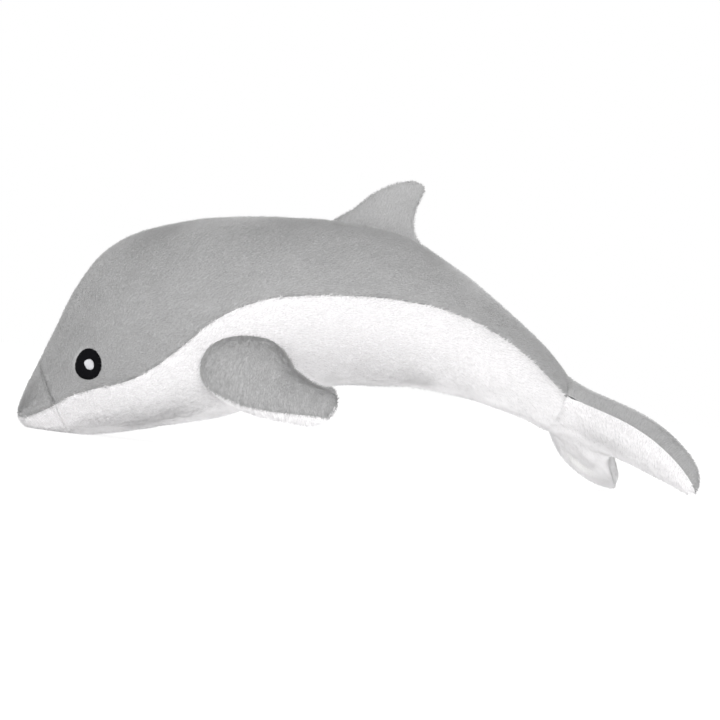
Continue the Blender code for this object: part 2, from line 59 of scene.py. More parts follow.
# The sewn shape, in metres and degrees. These are the sizes of the CAD source, but for the fluff of
# the near tip, the tuck of the fluke root and the sections of the fin's foot and flipper's rear
ORIGIN = np.array((-0.20931, -0.01036, 0.0))
BODY_LENGTH = 0.3348
BACK_HEIGHT = 0.1504
BELLY_RISE = 0.0520
BODY_WIDTH = 0.1050
BODY_EGG = 0.06
NOSE_HEIGHT = 0.0092
NOSE_WIDTH = 0.0200
CHIN_FLAT_DEPTH = 0.0032
CHIN_SAG = 0.70
TAIL_SWING = 0.0200
TAIL_TWIST = 18.0
TAIL_ROOT_WIDTH = 0.0330
FIN_HEIGHT = 0.0300
FIN_BASE = 0.0480
FIN_THICKNESS = 0.0160
FIN_POSITION = 0.2060
FIN_ROOT_DEPTH = 0.0070
FLIPPER_LENGTH = 0.0620
FLIPPER_CHORD = 0.0430
FLIPPER_THICKNESS = 0.0360
FLIPPER_POSITION = 0.1350
FLIPPER_HEIGHT = 0.0520
FLIPPER_OUTSET = 0.0460
FLIPPER_SPLAY = 24.0
FLIPPER_DROOP = 18.0
FLIPPER_CANT = 22.0
FLIPPER_SEAM_ROLL = 44.0
FLIPPER_REAR_ROLL = 38.0
FLIPPER_COMB = 62.0
NEAR_TIP_FLUFF = 0.0030
FLUKE_LENGTH = 0.0860
FLUKE_HALF_SPAN = 0.0600
FLUKE_NOTCH = 0.0490
FLUKE_TOP_PUFF = 0.0185
FLUKE_UNDER_PUFF = 0.0105
FLUKE_TIP_ROLL = 3.8
FLUKE_FLAT_DEPTH = 0.0006
FLUKE_ROOT_SHARE = 0.28
FLUKE_TIP_SHARE = 0.985
ROOT_GAP = 0.0003
ROOT_TUCK = 0.0022
EYE_POSITION = 0.0437
EYE_HEIGHT = 0.0437
EYE_SIZE = (0.0165, 0.0190)
EYE_LIGHT_SIZE = (0.0058, 0.0068)
SNOUT_STATION = 3

# Body stations, nose to tail: back point along and up, belly point along and up, width, side seam
# in degrees above the middle, then sideways swing, twist and sag, as shares of their named sizes
STATIONS = np.array((
    (0.000, 0.000, 0.000, 0.000, 0.00, -5, 0.00, 0.00, 0.00),
    (0.002, 0.041, 0.010, 0.000, 0.27, -23, 0.00, 0.00, 0.40),
    (0.011, 0.126, 0.048, 0.000, 0.39, -13, 0.00, 0.00, 0.90),
    (0.027, 0.232, 0.108, 0.000, 0.52, -8, 0.00, 0.00, 1.00),
    (0.053, 0.406, 0.146, 0.022, 0.65, -17, 0.00, 0.00, 1.00),
    (0.079, 0.572, 0.179, 0.064, 0.76, -24, 0.00, 0.00, 1.00),
    (0.119, 0.729, 0.215, 0.123, 0.86, -29, 0.00, 0.00, 1.00),
    (0.177, 0.836, 0.260, 0.200, 0.94, -27, 0.00, 0.00, 0.90),
    (0.254, 0.903, 0.314, 0.300, 0.99, -16, 0.00, 0.00, 0.75),
    (0.337, 0.949, 0.368, 0.400, 1.00, -2, 0.00, 0.00, 0.50),
    (0.425, 0.974, 0.430, 0.590, 0.98, 5, 0.00, 0.00, 0.25),
    (0.509, 0.989, 0.500, 0.790, 0.93, 5, 0.00, 0.00, 0.10),
    (0.594, 0.988, 0.575, 0.930, 0.87, 5, 0.00, 0.00, 0.00),
    (0.677, 0.951, 0.659, 0.990, 0.79, 7, 0.03, 0.05, 0.00),
    (0.752, 0.864, 0.735, 1.000, 0.69, 11, 0.12, 0.20, 0.00),
    (0.825, 0.764, 0.805, 0.955, 0.58, 12, 0.29, 0.45, 0.00),
    (0.895, 0.650, 0.873, 0.870, 0.47, 8, 0.53, 0.70, 0.00),
    (0.957, 0.542, 0.928, 0.780, 0.38, 0, 0.80, 0.88, 0.00),
    (1.000, 0.440, 0.965, 0.676, 0.00, -3, 1.00, 1.00, 0.00),
))
LAST_STATION = len(STATIONS) - 1
# Pocket rings, root to tip: distance out, leading edge, trailing edge and thickness shares
FIN_RINGS = np.array((
    (0.00, -0.80, 0.58, 1.00),
    (0.18, -0.66, 0.49, 0.94),
    (0.40, -0.42, 0.46, 0.84),
    (0.60, -0.26, 0.48, 0.74),
    (0.76, -0.13, 0.52, 0.64),
    (0.88, 0.02, 0.55, 0.53),
    (0.96, 0.16, 0.52, 0.38),
    (1.00, 0.28, 0.44, 0.00),
))
FLIPPER_RINGS = np.array((
    (-0.39, -0.24, 0.18, 0.55),
    (-0.29, -0.41, 0.38, 0.83),
    (-0.13, -0.51, 0.53, 1.00),
    (0.10, -0.54, 0.59, 1.00),
    (0.29, -0.54, 0.50, 0.80),
    (0.48, -0.49, 0.35, 0.66),
    (0.68, -0.40, 0.30, 0.57),
    (0.84, -0.32, 0.31, 0.47),
    (0.94, -0.22, 0.28, 0.32),
    (1.00, -0.09, 0.17, 0.00),
))
# Fluke outline, middle to tip: leading edge back and out, trailing edge back and out, thickness
FLUKE_ROWS = np.array((
    (0.00, 0.000, 0.00, 0.000, 0.00, 0.84),
    (0.28, 0.000, 0.00, 0.150, 0.20, 1.00),
    (0.42, 0.140, 0.25, 0.420, 0.38, 1.00),
    (0.56, 0.310, 0.54, 0.660, 0.56, 0.96),
    (0.70, 0.510, 0.78, 0.840, 0.72, 0.85),
    (0.84, 0.720, 0.94, 0.960, 0.86, 0.70),
    (0.94, 0.860, 1.00, 1.000, 0.94, 0.50),
    (1.00, 0.940, 1.00, 0.995, 0.97, 0.00),
))

# Fineness of the sewn surfaces
BODY_ROWS = 169
BACK_COLUMNS = 43
BELLY_COLUMNS = 91
SNOUT_ROWS = 25
POCKET_ROWS = 43
FLIPPER_ROWS = 61
POCKET_COLUMNS = 31
FLIPPER_UNDER_COLUMNS = 37
FLUKE_SHEET_ROWS = 40
FLUKE_LOBE_COLUMNS = 37
FLUKE_ROOT_COLUMNS = 25
FILLING_STEP = 3
FILLING_FRAMES = 20
EYE_POINTS = 7

# Lowest heights of the pile, the cloth and the filling over the floor
FLOOR_CLEARANCE = 0.0002
CLOTH_CLEARANCE = 0.0011
FLUKE_CLOTH_CLEARANCE = 0.0009
FILLING_CLEARANCE = 0.0045

# Seams: depth and width shares and painted shade on the cloth and pile beside them, standing in for
# the shadow in the seam's groove, as (depth, width, shade)
NO_SEAM = (0, 1, 0)
SIDE_SEAM = (0.5, 0.8, 0.0)
RIDGE_SEAM = (0.3, 0.8, 0.0)
# The snout's collar seam gets a thin dark line of painted shade
COLLAR_SEAM = (0.8, 0.35, 0.55)
PALE_COLLAR_SEAM = (0.15, 0.35, 0.0)
TAIL_SEAM = (0.35, 1.2, 0.0)
POCKET_SEAM = (0.4, 0.6, 0.0)
FLUKE_SEAM = (0.0, 0.6, 0.0)
RUFFLE_REACH = 0.0018
PAINTED_SHADE_REACH = 0.0007
UPRIGHT_REACH = 0.0012
# Painted shade of the bare cloth, standing in for the shadow that the pile casts on it
CLOTH_PAINTED_SHADE = 0.45
NAP_SWIRL = 0.2
FOLD_FADE = 0.005

# Where a pocket meets the body: reach of the search, and how deep the cloth loses its pile
MEET_REACH = 0.012
MEET_DEPTH = 0.3
MEET_WIDTH = 0.8
BARE_DEPTH = 0.0030
PILE_DEPTH = 0.0008
BURIED_DEPTH = 0.004

# The most that the simulation may move each cover, and the rows it leaves alone
BODY_SWELL, BODY_PINNED = 0.0014, 0
FIN_SWELL, FIN_PINNED = 0.0007, 4
FLIPPER_SWELL, FLIPPER_PINNED = 0.0010, 5
FLUKE_SWELL, FLUKE_PINNED = 0.0009, 2
CLOTH = {
    'quality': 5, 'mass': 0.2, 'tension_stiffness': 30, 'compression_stiffness': 30,
    'shear_stiffness': 10, 'bending_stiffness': 0.6, 'use_pressure': True,
    'uniform_pressure_force': 4.0, 'vertex_group_mass': 'seams'}

# The embroidery's shift from the eye's middle, along and up, and where the camera aims in the toy
EYE_RING_SHIFT = (-0.00115, -0.0006)
EYE_LIGHT_SHIFT = (0.0005, -0.0003)
CAMERA_AIM = (0.2041, 0.0655)


# ---------------------------------------------------------------- sizes a user would change

def number(name, description, default, low, high, **options):
    return FloatProperty(name=name, description=description, default=default, min=low, max=high,
                         **options)


def length(name, description, default, low, high):
    return number(name, description, default, low, high, unit='LENGTH')


def count(name, description, default, low, high):
    return IntProperty(name=name, description=description, default=default, min=low, max=high)


def colour(name, description, default):
    return FloatVectorProperty(name=name, description=description, default=default, min=0.0,
                               max=1.0, size=3, subtype='COLOR')


class PlushSettings(bpy.types.PropertyGroup):
    pile_length: length("Pile length", "Length of one fibre", 0.0027, 0.0005, 0.01)
    pile_lean: number("Pile lean", "How far the nap lies over, as a slope", 1.35, 0.0, 3.0)
    pile_disorder: number("Pile disorder", "How much the fibres stray from the nap", 0.26, 0.0, 1.0)
    fibre_width: length("Fibre width", "Half width of a fibre tuft at its root", 0.00023, 0.00005,
                        0.001)
    fibres_per_mm2: number("Fibres per mm2", "Fibre tufts on a square millimetre of cloth", 2.3,
                           0.1, 6.0)
    cloth_depth: length("Cloth depth", "How far the knitted back lies under the pile", 0.0015, 0.0,
                        0.003)
    cloth_thickness: length("Cloth thickness", "Thickness of the knitted back", 0.0009, 0.0002,
                            0.0015)
    seam_depth: length("Seam depth", "How far a seam pulls the cloth in", 0.0010, 0.0, 0.003)
    seam_width: length("Seam width", "Reach of the hollow beside a seam", 0.0030, 0.0005, 0.01)
    grey: colour("Grey plush", "Colour of the back, fins and flipper tops", (0.415, 0.415, 0.418))
    white: colour("White plush", "Colour of the belly and the undersides", (0.90, 0.892, 0.898))


class EyeSettings(bpy.types.PropertyGroup):
    thread_width: length("Thread width", "Width of one embroidery thread", 0.00048, 0.0001, 0.001)
    ring_threads: count("Ring threads", "Satin stitches round the black ring", 160, 12, 400)
    light_threads: count("Light threads", "Satin stitches across the pale middle", 17, 3, 60)
    black: colour("Black thread", "Colour of the ring", (0.004, 0.004, 0.005))
    silver: colour("Silver thread", "Colour of the pale middle", (0.48, 0.48, 0.50))


class StageSettings(bpy.types.PropertyGroup):
    camera_distance: length("Camera distance", "From the lens to the toy", 1.3, 0.3, 10.0)
    camera_roll: number("Camera roll", "Roll of the camera, in radians", math.radians(6.9),
                        -math.pi, math.pi, subtype='ANGLE')
    view_width: length("View width", "Width of the view at the toy", 0.4428, 0.1, 3.0)
    sky_level: number("Room light", "Strength of the even light of the room", 1.04, 0.0, 3.0)
    key_power: number("Key light", "Power of the big soft light in front", 11.5, 0.0, 200.0)
    floor_size: length("Floor size", "Width of the floor", 8.0, 1.0, 50.0)


# ---------------------------------------------------------------- the sewn surfaces

def smooth_at(values, position):
    """Smooth curve through evenly numbered values, at an array of fractional numbers."""
    values = np.asarray(values, float)
    position = np.asarray(position, float)
    last = len(values) - 1
    index = np.clip(np.floor(position).astype(int), 0, last - 1)
    extra = (1,) * (values.ndim - 1)
    share = (position - index).reshape(position.shape + extra)
    a = values[np.maximum(index - 1, 0)]
    b = values[index]
    c = values[index + 1]
    d = values[np.minimum(index + 2, last)]
    slope_b = np.where((index > 0).reshape(index.shape + extra), (c - a) / 2, c - b)
    slope_c = np.where((index + 2 <= last).reshape(index.shape + extra), (d - b) / 2, c - b)
    square = share * share
    cube = square * share
    return ((2 * cube - 3 * square + 1) * b + (cube - 2 * square + share) * slope_b
            + (3 * square - 2 * cube) * c + (cube - square) * slope_c)


def smoothstep(low, high, value):
    share = np.clip((value - low) / (high - low), 0, 1)
    return share * share * (3 - 2 * share)


def unit(vectors):
    return vectors / np.maximum(np.linalg.norm(vectors, axis=-1, keepdims=True), 1e-12)


class Rings:
    """Cross-sections of a stuffed tube: centres, sideways and upward directions, half sizes."""

    def __init__(self, centre, side, up, half_side, half_up, egg=0.0, sag=0.0):
        self.centre = centre
        self.side = side
        self.up = up
        self.half_side = half_side
        self.half_up = half_up
        self.egg = egg
        self.sag = np.zeros(len(centre)) + sag

    def keep(self, rows):
        """Keeps some of the sections."""
        for key in ('centre', 'side', 'up', 'half_side', 'half_up', 'sag'):
            setattr(self, key, getattr(self, key)[rows])

    def points(self, degrees, inset=0.0):
        """Points of every section at its row of angles, moved in by inset."""
        half_side = np.maximum(self.half_side - inset, 0.45 * self.half_side)[:, None]
        half_up = np.maximum(self.half_up - inset, 0.45 * self.half_up)[:, None]
        angle = np.radians(degrees)
        below = np.maximum(-np.sin(angle), 0.0)
        fullness = 1 - self.egg * np.sin(angle) + self.sag[:, None] * below ** 3
        out = half_side * np.cos(angle) * fullness
        return (self.centre[:, None] + self.side[:, None] * out[..., None]
                + self.up[:, None] * (half_up * np.sin(angle))[..., None])


def body_lines(station):
    """Back points and belly points of the body in its own upright plane."""
    zero = np.zeros_like(station)
    back_x = smooth_at(STATIONS[:, 0], station) * BODY_LENGTH
    back_z = NOSE_HEIGHT + smooth_at(STATIONS[:, 1], station) * (BACK_HEIGHT - NOSE_HEIGHT)
    belly_x = smooth_at(STATIONS[:, 2], station) * BODY_LENGTH
    chin = [NOSE_HEIGHT, 0.22 * NOSE_HEIGHT, -CHIN_FLAT_DEPTH, -CHIN_FLAT_DEPTH]
    belly = chin + [share * BELLY_RISE for share in STATIONS[4:, 3]]
    return (np.stack((back_x, zero, back_z), -1),
            np.stack((belly_x, zero, smooth_at(belly, station)), -1))


def body_middle(station):
    back, belly = body_lines(station)
    middle = (back + belly) / 2
    middle[..., 1] += smooth_at(STATIONS[:, 6], station) * TAIL_SWING
    return middle


def body_rings(station):
    station = np.atleast_1d(np.asarray(station, float))
    back, belly = body_lines(station)
    ahead = (body_middle(np.minimum(station + 0.02, LAST_STATION))
             - body_middle(np.maximum(station - 0.02, 0)))
    yaw = np.arctan2(ahead[:, 1], ahead[:, 0])
    upright = back - belly
    length = np.linalg.norm(upright, axis=1)
    up = np.where(length[:, None] > 1e-7, upright / np.maximum(length, 1e-9)[:, None], (0, 0, 1))
    up = np.stack((up[:, 0] * np.cos(yaw), up[:, 0] * np.sin(yaw), up[:, 2]), -1)
    side = np.stack((np.sin(yaw), -np.cos(yaw), np.zeros_like(yaw)), -1)
    twist = np.radians(smooth_at(STATIONS[:, 7], station) * TAIL_TWIST)[:, None]
    rolled_side = side * np.cos(twist) + up * np.sin(twist)
    rolled_up = up * np.cos(twist) - side * np.sin(twist)
    widths = STATIONS[:, 4] * BODY_WIDTH
    widths[0] = NOSE_WIDTH
    widths[-1] = TAIL_ROOT_WIDTH
    return Rings(body_middle(station), rolled_side, rolled_up, smooth_at(widths, station) / 2,
                 length / 2, BODY_EGG, smooth_at(STATIONS[:, 8], station) * CHIN_SAG)


def seam_degrees(station):
    return smooth_at(STATIONS[:, 5], station)


def even_stations(first, last, rows):
    """Stations at even steps along the body's middle line."""
    fine = np.linspace(first, last, 600)
    step = np.linalg.norm(np.diff(body_middle(fine), axis=0), axis=1)
    return np.interp(np.linspace(0, 1, rows), np.r_[0, np.cumsum(step)] / step.sum(), fine)


def fan(first, last, columns):
    """Rows of angles from one seam to the next."""
    share = np.linspace(0, 1, columns)[None]
    return np.asarray(first)[:, None] * (1 - share) + np.asarray(last)[:, None] * share


def pocket_rings(table, place, rows):
    """Rings of a pocket from its table, closer together towards the tip."""
    at = (1 - (1 - np.linspace(0, 1, rows)) ** 1.35) * (len(table) - 1)
    return place(*[smooth_at(table[:, number], at) for number in range(4)])


def station_at(along, pick):
    fine = np.linspace(0, LAST_STATION, 4000)
    return np.interp(along, body_lines(fine)[pick][:, 0], fine)


def head_surface(station, degrees, raised):
    """Points a height over the left side of the head, at arrays of stations and angles."""
    station = np.atleast_1d(np.asarray(station, float))
    degrees = np.atleast_1d(np.asarray(degrees, float))

    def at(move_station, move_degrees):
        return body_rings(station + move_station).points((degrees + move_degrees)[:, None])[:, 0]

    along = at(0.05, 0) - at(-0.05, 0)
    around = at(0, 1) - at(0, -1)
    spot = at(0, 0)
    normal = unit(np.cross(along, around))
    outward = spot - body_rings(station).centre
    normal *= np.sign((normal * outward).sum(-1, keepdims=True))
    return spot + normal * np.reshape(raised, (-1, 1))


class EyeSeat:
    """The left eye's place on the head, with steps in metres along and up turned into angles."""

    def __init__(self):
        self.station, self.degrees = 4.0, 0.0
        for _ in range(60):
            spot = head_surface(self.station, self.degrees, 0.0)[0]
            self.station += (EYE_POSITION - spot[0]) * 40
            self.degrees += (EYE_HEIGHT - spot[2]) * 400
        centre = head_surface(self.station, self.degrees, 0.0)[0]
        per_station = (head_surface(self.station + 0.05, self.degrees, 0.0)[0] - centre) / 0.05
        per_degree = head_surface(self.station, self.degrees + 1, 0.0)[0] - centre
        self.turn = np.linalg.inv(np.array(((per_station[0], per_degree[0]),
                                            (per_station[2], per_degree[2]))))

    def points(self, along, up, raised, sign):
        """Points a distance along and up from the eye's middle; sign is -1 for the right eye."""
        step = np.stack((along, up)).T @ self.turn.T
        spots = head_surface(self.station + step[:, 0], self.degrees + step[:, 1], raised)
        return spots * (1, sign, 1) + ORIGIN


def fin_rings(rows):
    back = body_lines(np.array([station_at(FIN_POSITION, 0)]))[0][0]
    base = back - np.array((0, 0, FIN_ROOT_DEPTH))
    rise = FIN_HEIGHT + FIN_ROOT_DEPTH

    def place(height, front, rear, thick):
        zero = np.zeros_like(height)
        middle = base + np.stack(((front + rear) / 2 * FIN_BASE, zero, height * rise), -1)
        across = np.ones_like(height)[:, None]
        return Rings(middle, across * (1, 0, 0), across * (0, -1, 0), (rear - front) / 2 * FIN_BASE,
                     np.maximum(thick, 0) * FIN_THICKNESS / 2)

    return pocket_rings(FIN_RINGS, place, rows)


def flipper_rings(sign, rows):
    """Rings of a flipper; sign is 1 for the left one and -1 for the right one."""
    splay = math.radians(FLIPPER_SPLAY)
    droop = math.radians(FLIPPER_DROOP)
    out = np.array((math.cos(splay) * math.cos(droop), -math.sin(splay) * math.cos(droop),
                    -math.sin(droop)))
    cant = math.radians(FLIPPER_CANT)
    face = np.array((0, -math.cos(cant), math.sin(cant)))
    face = unit(face - out * face.dot(out))
    chord = -np.cross(out, face)
    root = np.array((FLIPPER_POSITION, -FLIPPER_OUTSET, FLIPPER_HEIGHT))
    flip = np.array((1, sign, 1))

    def place(away, front, rear, thick):
        reach = away * FLIPPER_LENGTH
        if sign > 0:
            reach = reach + NEAR_TIP_FLUFF * smoothstep(0.4, 1.0, away)
        middle = (root + out * reach[:, None]
                  + chord * ((front + rear) / 2 * FLIPPER_CHORD)[:, None])
        across = np.ones_like(away)[:, None]
        return Rings(middle * flip, across * (chord * flip), across * (face * flip),
                     (rear - front) / 2 * FLIPPER_CHORD,
                     np.maximum(thick, 0) * FLIPPER_THICKNESS / 2)

    return pocket_rings(FLIPPER_RINGS, place, rows)


class Fluke:
    """The two lobes as one sheet of columns from the root and leading edge to the trailing edge."""

    def __init__(self):
        ring = body_rings(LAST_STATION)
        self.half_side = ring.half_side[0]
        self.half_up = ring.half_up[0]
        forward = unit(np.cross(ring.side[0], ring.up[0]))
        if forward[0] < 0:
            forward = -forward
        self.start = ring.centre[0] + forward * ROOT_GAP
        self.yaw = math.atan2(forward[1], forward[0])
        self.root_slope = math.asin(-forward[2])
        t, v, side = np.meshgrid(np.linspace(0.3, 1, 15), np.linspace(0, 1, 9), (1, -1))
        low, high = 5.0, 75.0
        for _ in range(30):
            self.slope = (low + high) / 2
            heights = self.height(t, v, -1)
            if self.point(side * t, v, -1, heights)[..., 2].min() > -FLUKE_FLAT_DEPTH:
                low = self.slope
            else:
                high = self.slope

    def row(self, t, number):
        at = np.interp(t, FLUKE_ROWS[:, 0], np.arange(len(FLUKE_ROWS)))
        return smooth_at(FLUKE_ROWS[:, number], at)

    def outline(self, t, v):
        reach = FLUKE_HALF_SPAN - self.half_side
        root = t <= FLUKE_ROOT_SHARE
        front_x = np.where(root, 0.0, np.maximum(self.row(t, 1), 0.0) * FLUKE_LENGTH)
        front_y = np.where(root, self.half_side * t / FLUKE_ROOT_SHARE,
                           self.half_side + self.row(t, 2) * reach)
        rear_x = FLUKE_NOTCH + self.row(t, 3) * (FLUKE_LENGTH - FLUKE_NOTCH)
        rear_y = self.row(t, 4) * FLUKE_HALF_SPAN
        return front_x + (rear_x - front_x) * v, front_y + (rear_y - front_y) * v

    def height(self, t, v, face, slack=1.0):
        puff = FLUKE_TOP_PUFF if face > 0 else FLUKE_UNDER_PUFF
        lobe = np.maximum(self.row(t, 5), 0.0) * puff * np.sqrt(np.maximum(4 * v * (1 - v), 0.0))
        lobe = lobe * slack
        share = np.minimum(t / FLUKE_ROOT_SHARE, 1.0)
        stem = self.half_up * np.sqrt(1 - share * share) * (1 - v) ** 1.6
        return np.hypot(lobe, stem)

    def frame(self, back):
        share = np.clip(back / FLUKE_LENGTH, 0.0, 1.0)
        roll = np.radians(TAIL_TWIST + (FLUKE_TIP_ROLL - TAIL_TWIST) * share ** 2.2)[..., None]
        slope = math.radians(self.slope)
        cosine, sine = math.cos(self.yaw), math.sin(self.yaw)
        axis = np.array((math.cos(slope) * cosine, math.cos(slope) * sine, -math.sin(slope)))
        bend = self.root_slope + (slope - self.root_slope) * np.minimum(4 * share, 1.0)
        normal = np.stack((np.sin(bend) * cosine, np.sin(bend) * sine, np.cos(bend)), -1)
        left = np.array((sine, -cosine, 0.0))
        return (axis, left * np.cos(roll) + normal * np.sin(roll),
                normal * np.cos(roll) - left * np.sin(roll))

    def point(self, u, v, face, height):
        back, out = self.outline(np.abs(u), v)
        axis, left, normal = self.frame(back)
        return (self.start + axis * back[..., None] + left * (np.copysign(1.0, u) * out)[..., None]
                + normal * (face * height)[..., None])


# ---------------------------------------------------------------- grids of cloth

class Sheet:
    """One sewn panel as a grid of points with outward normals, nap direction and shares."""

    def __init__(self, name, points, outward, nap):
        self.name = name
        self.points = points
        self.rows, self.columns = points.shape[:2]
        self.outward = unit(outward)
        self.comb = 0.0
        self.turned = False
        self.settle()
        self.turned = np.median((self.normal * outward).sum(-1)) < 0
        self.settle()
        self.nap = unit(nap - self.normal * (nap * self.normal).sum(-1, keepdims=True))
        self.pile = np.ones(points.shape[:2])
        # Painted shade, darkest beside the snout seam and on the bare cloth
        self.shade = np.zeros(points.shape[:2])
        self.pale = np.zeros(points.shape[:2])
        self.ruffle = np.zeros(points.shape[:2])

    def settle(self):
        """Works out the outward directions again after the points have moved."""
        cross = np.cross(np.gradient(self.points, axis=0), np.gradient(self.points, axis=1))
        weak = np.linalg.norm(cross, axis=-1) < 1e-10
        self.normal = unit(-cross if self.turned else cross)
        self.normal[weak] = self.outward[weak]

    def relax(self, rounds):
        """Evens out the panel between its borders."""
        spots = self.points
        for _ in range(rounds):
            middle = (spots[:-2, 1:-1] + spots[2:, 1:-1] + spots[1:-1, :-2] + spots[1:-1, 2:]) / 4
            spots[1:-1, 1:-1] = (spots[1:-1, 1:-1] + middle) / 2
        self.settle()

    def cut(self, rows=slice(None), columns=slice(None)):
        """Keeps a part of the panel."""
        for key in ('points', 'outward', 'normal', 'nap', 'pile', 'shade', 'pale', 'ruffle'):
            setattr(self, key, getattr(self, key)[rows, columns])
        self.rows, self.columns = self.points.shape[:2]

    def border_distance(self):
        """Distance over the cloth to the first and last column and to the first and last row."""
        across = np.linalg.norm(np.diff(self.points, axis=1), axis=2)
        from_left = np.concatenate((np.zeros((self.rows, 1)), np.cumsum(across, 1)), 1)
        along = np.linalg.norm(np.diff(self.points, axis=0), axis=2)
        from_top = np.concatenate((np.zeros((1, self.columns)), np.cumsum(along, 0)), 0)
        return (from_left, from_left[:, -1:] - from_left, from_top, from_top[-1:] - from_top)


def ring_sheet(name, rings, degrees, inset, comb=0.0):
    """A panel on a tube; comb turns its nap from along the tube to round it, in degrees."""
    points = rings.points(degrees, inset)
    outward = points - rings.centre[:, None]
    turn = math.radians(comb)
    nap = (unit(np.gradient(points, axis=0)) * math.cos(turn)
           + unit(np.gradient(points, axis=1)) * math.sin(turn))
    sheet = Sheet(name, points + ORIGIN, outward, nap)
    sheet.comb = turn
    return sheet


def wander(points, scale, seed):
    """Soft noise from -1 to 1 at every point of a grid."""
    flat = points.reshape(-1, 3) * scale + seed * 7.31
    values = [noise.noise(Vector(spot)) for spot in flat]
    return np.array(values).reshape(points.shape[:-1])


def grid_quads(rows, columns, start=0, turned=False):
    index = start + np.arange(rows * columns).reshape(rows, columns)
    quads = np.stack((index[:-1, :-1], index[:-1, 1:], index[1:, 1:], index[1:, :-1]), -1)
    quads = quads.reshape(-1, 4)
    return quads[:, ::-1] if not turned else quads


def add_values(mesh, name, kind, domain, values):
    made = mesh.attributes.new(name, kind, domain)
    key = 'vector' if kind in ('FLOAT_VECTOR', 'FLOAT2') else 'value'
    made.data.foreach_set(key, np.ascontiguousarray(values, dtype=np.float32).ravel())


def sheet_uv(sheet, mesh):
    """Places on a map for every face corner of a grid, from the grid's own rows and columns."""
    corner = np.zeros(len(mesh.loops), np.int32)
    mesh.loops.foreach_get('vertex_index', corner)
    corner = corner % (sheet.rows * sheet.columns)
    place = np.stack((corner % sheet.columns / (sheet.columns - 1),
                      corner // sheet.columns / (sheet.rows - 1)), -1)
    return 0.01 + 0.98 * place


def outer_mesh(sheet, seed):
    """The panel's pile side alone, which the fibres grow from."""
    mesh = bpy.data.meshes.new(sheet.name + '_ground')
    quads = grid_quads(sheet.rows, sheet.columns, 0, sheet.turned)
    mesh.from_pydata(sheet.points.reshape(-1, 3), [], quads.tolist())
    for key in ('shade', 'pale', 'ruffle', 'pile'):
        add_values(mesh, key, 'FLOAT', 'POINT', getattr(sheet, key))
    across, _, along, _ = distances = sheet.border_distance()
    cosine, sine = math.cos(sheet.comb), math.sin(sheet.comb)
    lay = np.stack((across * cosine - along * sine, along * cosine + across * sine,
                    np.full_like(along, seed * 0.037)), -1)
    stand = 1 - 0.8 * np.exp(-(np.minimum.reduce(distances) / UPRIGHT_REACH) ** 2)
    for key, values in (('lay', lay), ('nap', sheet.nap * stand[..., None]),
                        ('upright', sheet.normal)):
        add_values(mesh, key, 'FLOAT_VECTOR', 'POINT', values)
    add_values(mesh, 'ground_uv', 'FLOAT2', 'CORNER', sheet_uv(sheet, mesh))
    mesh.shade_smooth()
    return mesh


def finish_mesh(mesh, merge=1e-6):
    """Merges points that meet, drops faces with no area and turns every face outwards."""
    work = bmesh.new()
    work.from_mesh(mesh)
    bmesh.ops.remove_doubles(work, verts=work.verts, dist=merge)
    bmesh.ops.dissolve_degenerate(work, edges=work.edges, dist=merge)
    bmesh.ops.recalc_face_normals(work, faces=work.faces)
    work.to_mesh(mesh)
    work.free()
    mesh.shade_smooth()


def shell_between(name, sheet, inner):
    """Closed mesh from a panel's points to a second grid of points behind them."""
    size = sheet.rows * sheet.columns
    points = np.concatenate((sheet.points.reshape(-1, 3), inner.reshape(-1, 3)))
    index = np.arange(size).reshape(sheet.rows, sheet.columns)
    border = np.concatenate((index[0, :-1], index[:-1, -1], index[-1, :0:-1], index[:0:-1, 0]))
    follow = np.roll(border, -1)
    rim = np.stack((border, follow, follow + size, border + size), -1)
    faces = np.concatenate((grid_quads(sheet.rows, sheet.columns, 0, sheet.turned),
                            grid_quads(sheet.rows, sheet.columns, size, not sheet.turned), rim))
    mesh = bpy.data.meshes.new(name)
    mesh.from_pydata(points, [], faces.tolist())
    # The cloth gets painted shade, darkened to the pile's self-shadowed tone
    shade = np.maximum(sheet.shade, CLOTH_PAINTED_SHADE)
    add_values(mesh, 'shade', 'FLOAT', 'POINT', np.tile(shade.ravel(), 2))
    add_values(mesh, 'pale', 'FLOAT', 'POINT', np.tile(sheet.pale.ravel(), 2))
    add_values(mesh, 'tint', 'FLOAT', 'POINT', np.full(2 * size, 0.5))
    uv = mesh.uv_layers.new(name='OFBake')
    uv.data.foreach_set('uv', sheet_uv(sheet, mesh).astype(np.float32).ravel())
    finish_mesh(mesh)
    return mesh


def shell_mesh(sheet, thickness):
    """The knitted cloth as a closed shell with its own thickness."""
    return shell_between(sheet.name + '_cloth', sheet, sheet.points - sheet.normal * thickness)


def link(name, mesh, material, replaced=()):
    """Puts a finished mesh in the scene as a piece of the toy."""
    made = bpy.data.objects.new(name, mesh)
    bpy.context.scene.collection.objects.link(made)
    mesh.materials.clear()
    mesh.materials.append(material)
    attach(made, BODY)
    if replaced:
        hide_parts(*replaced)


# ---------------------------------------------------------------- node helpers

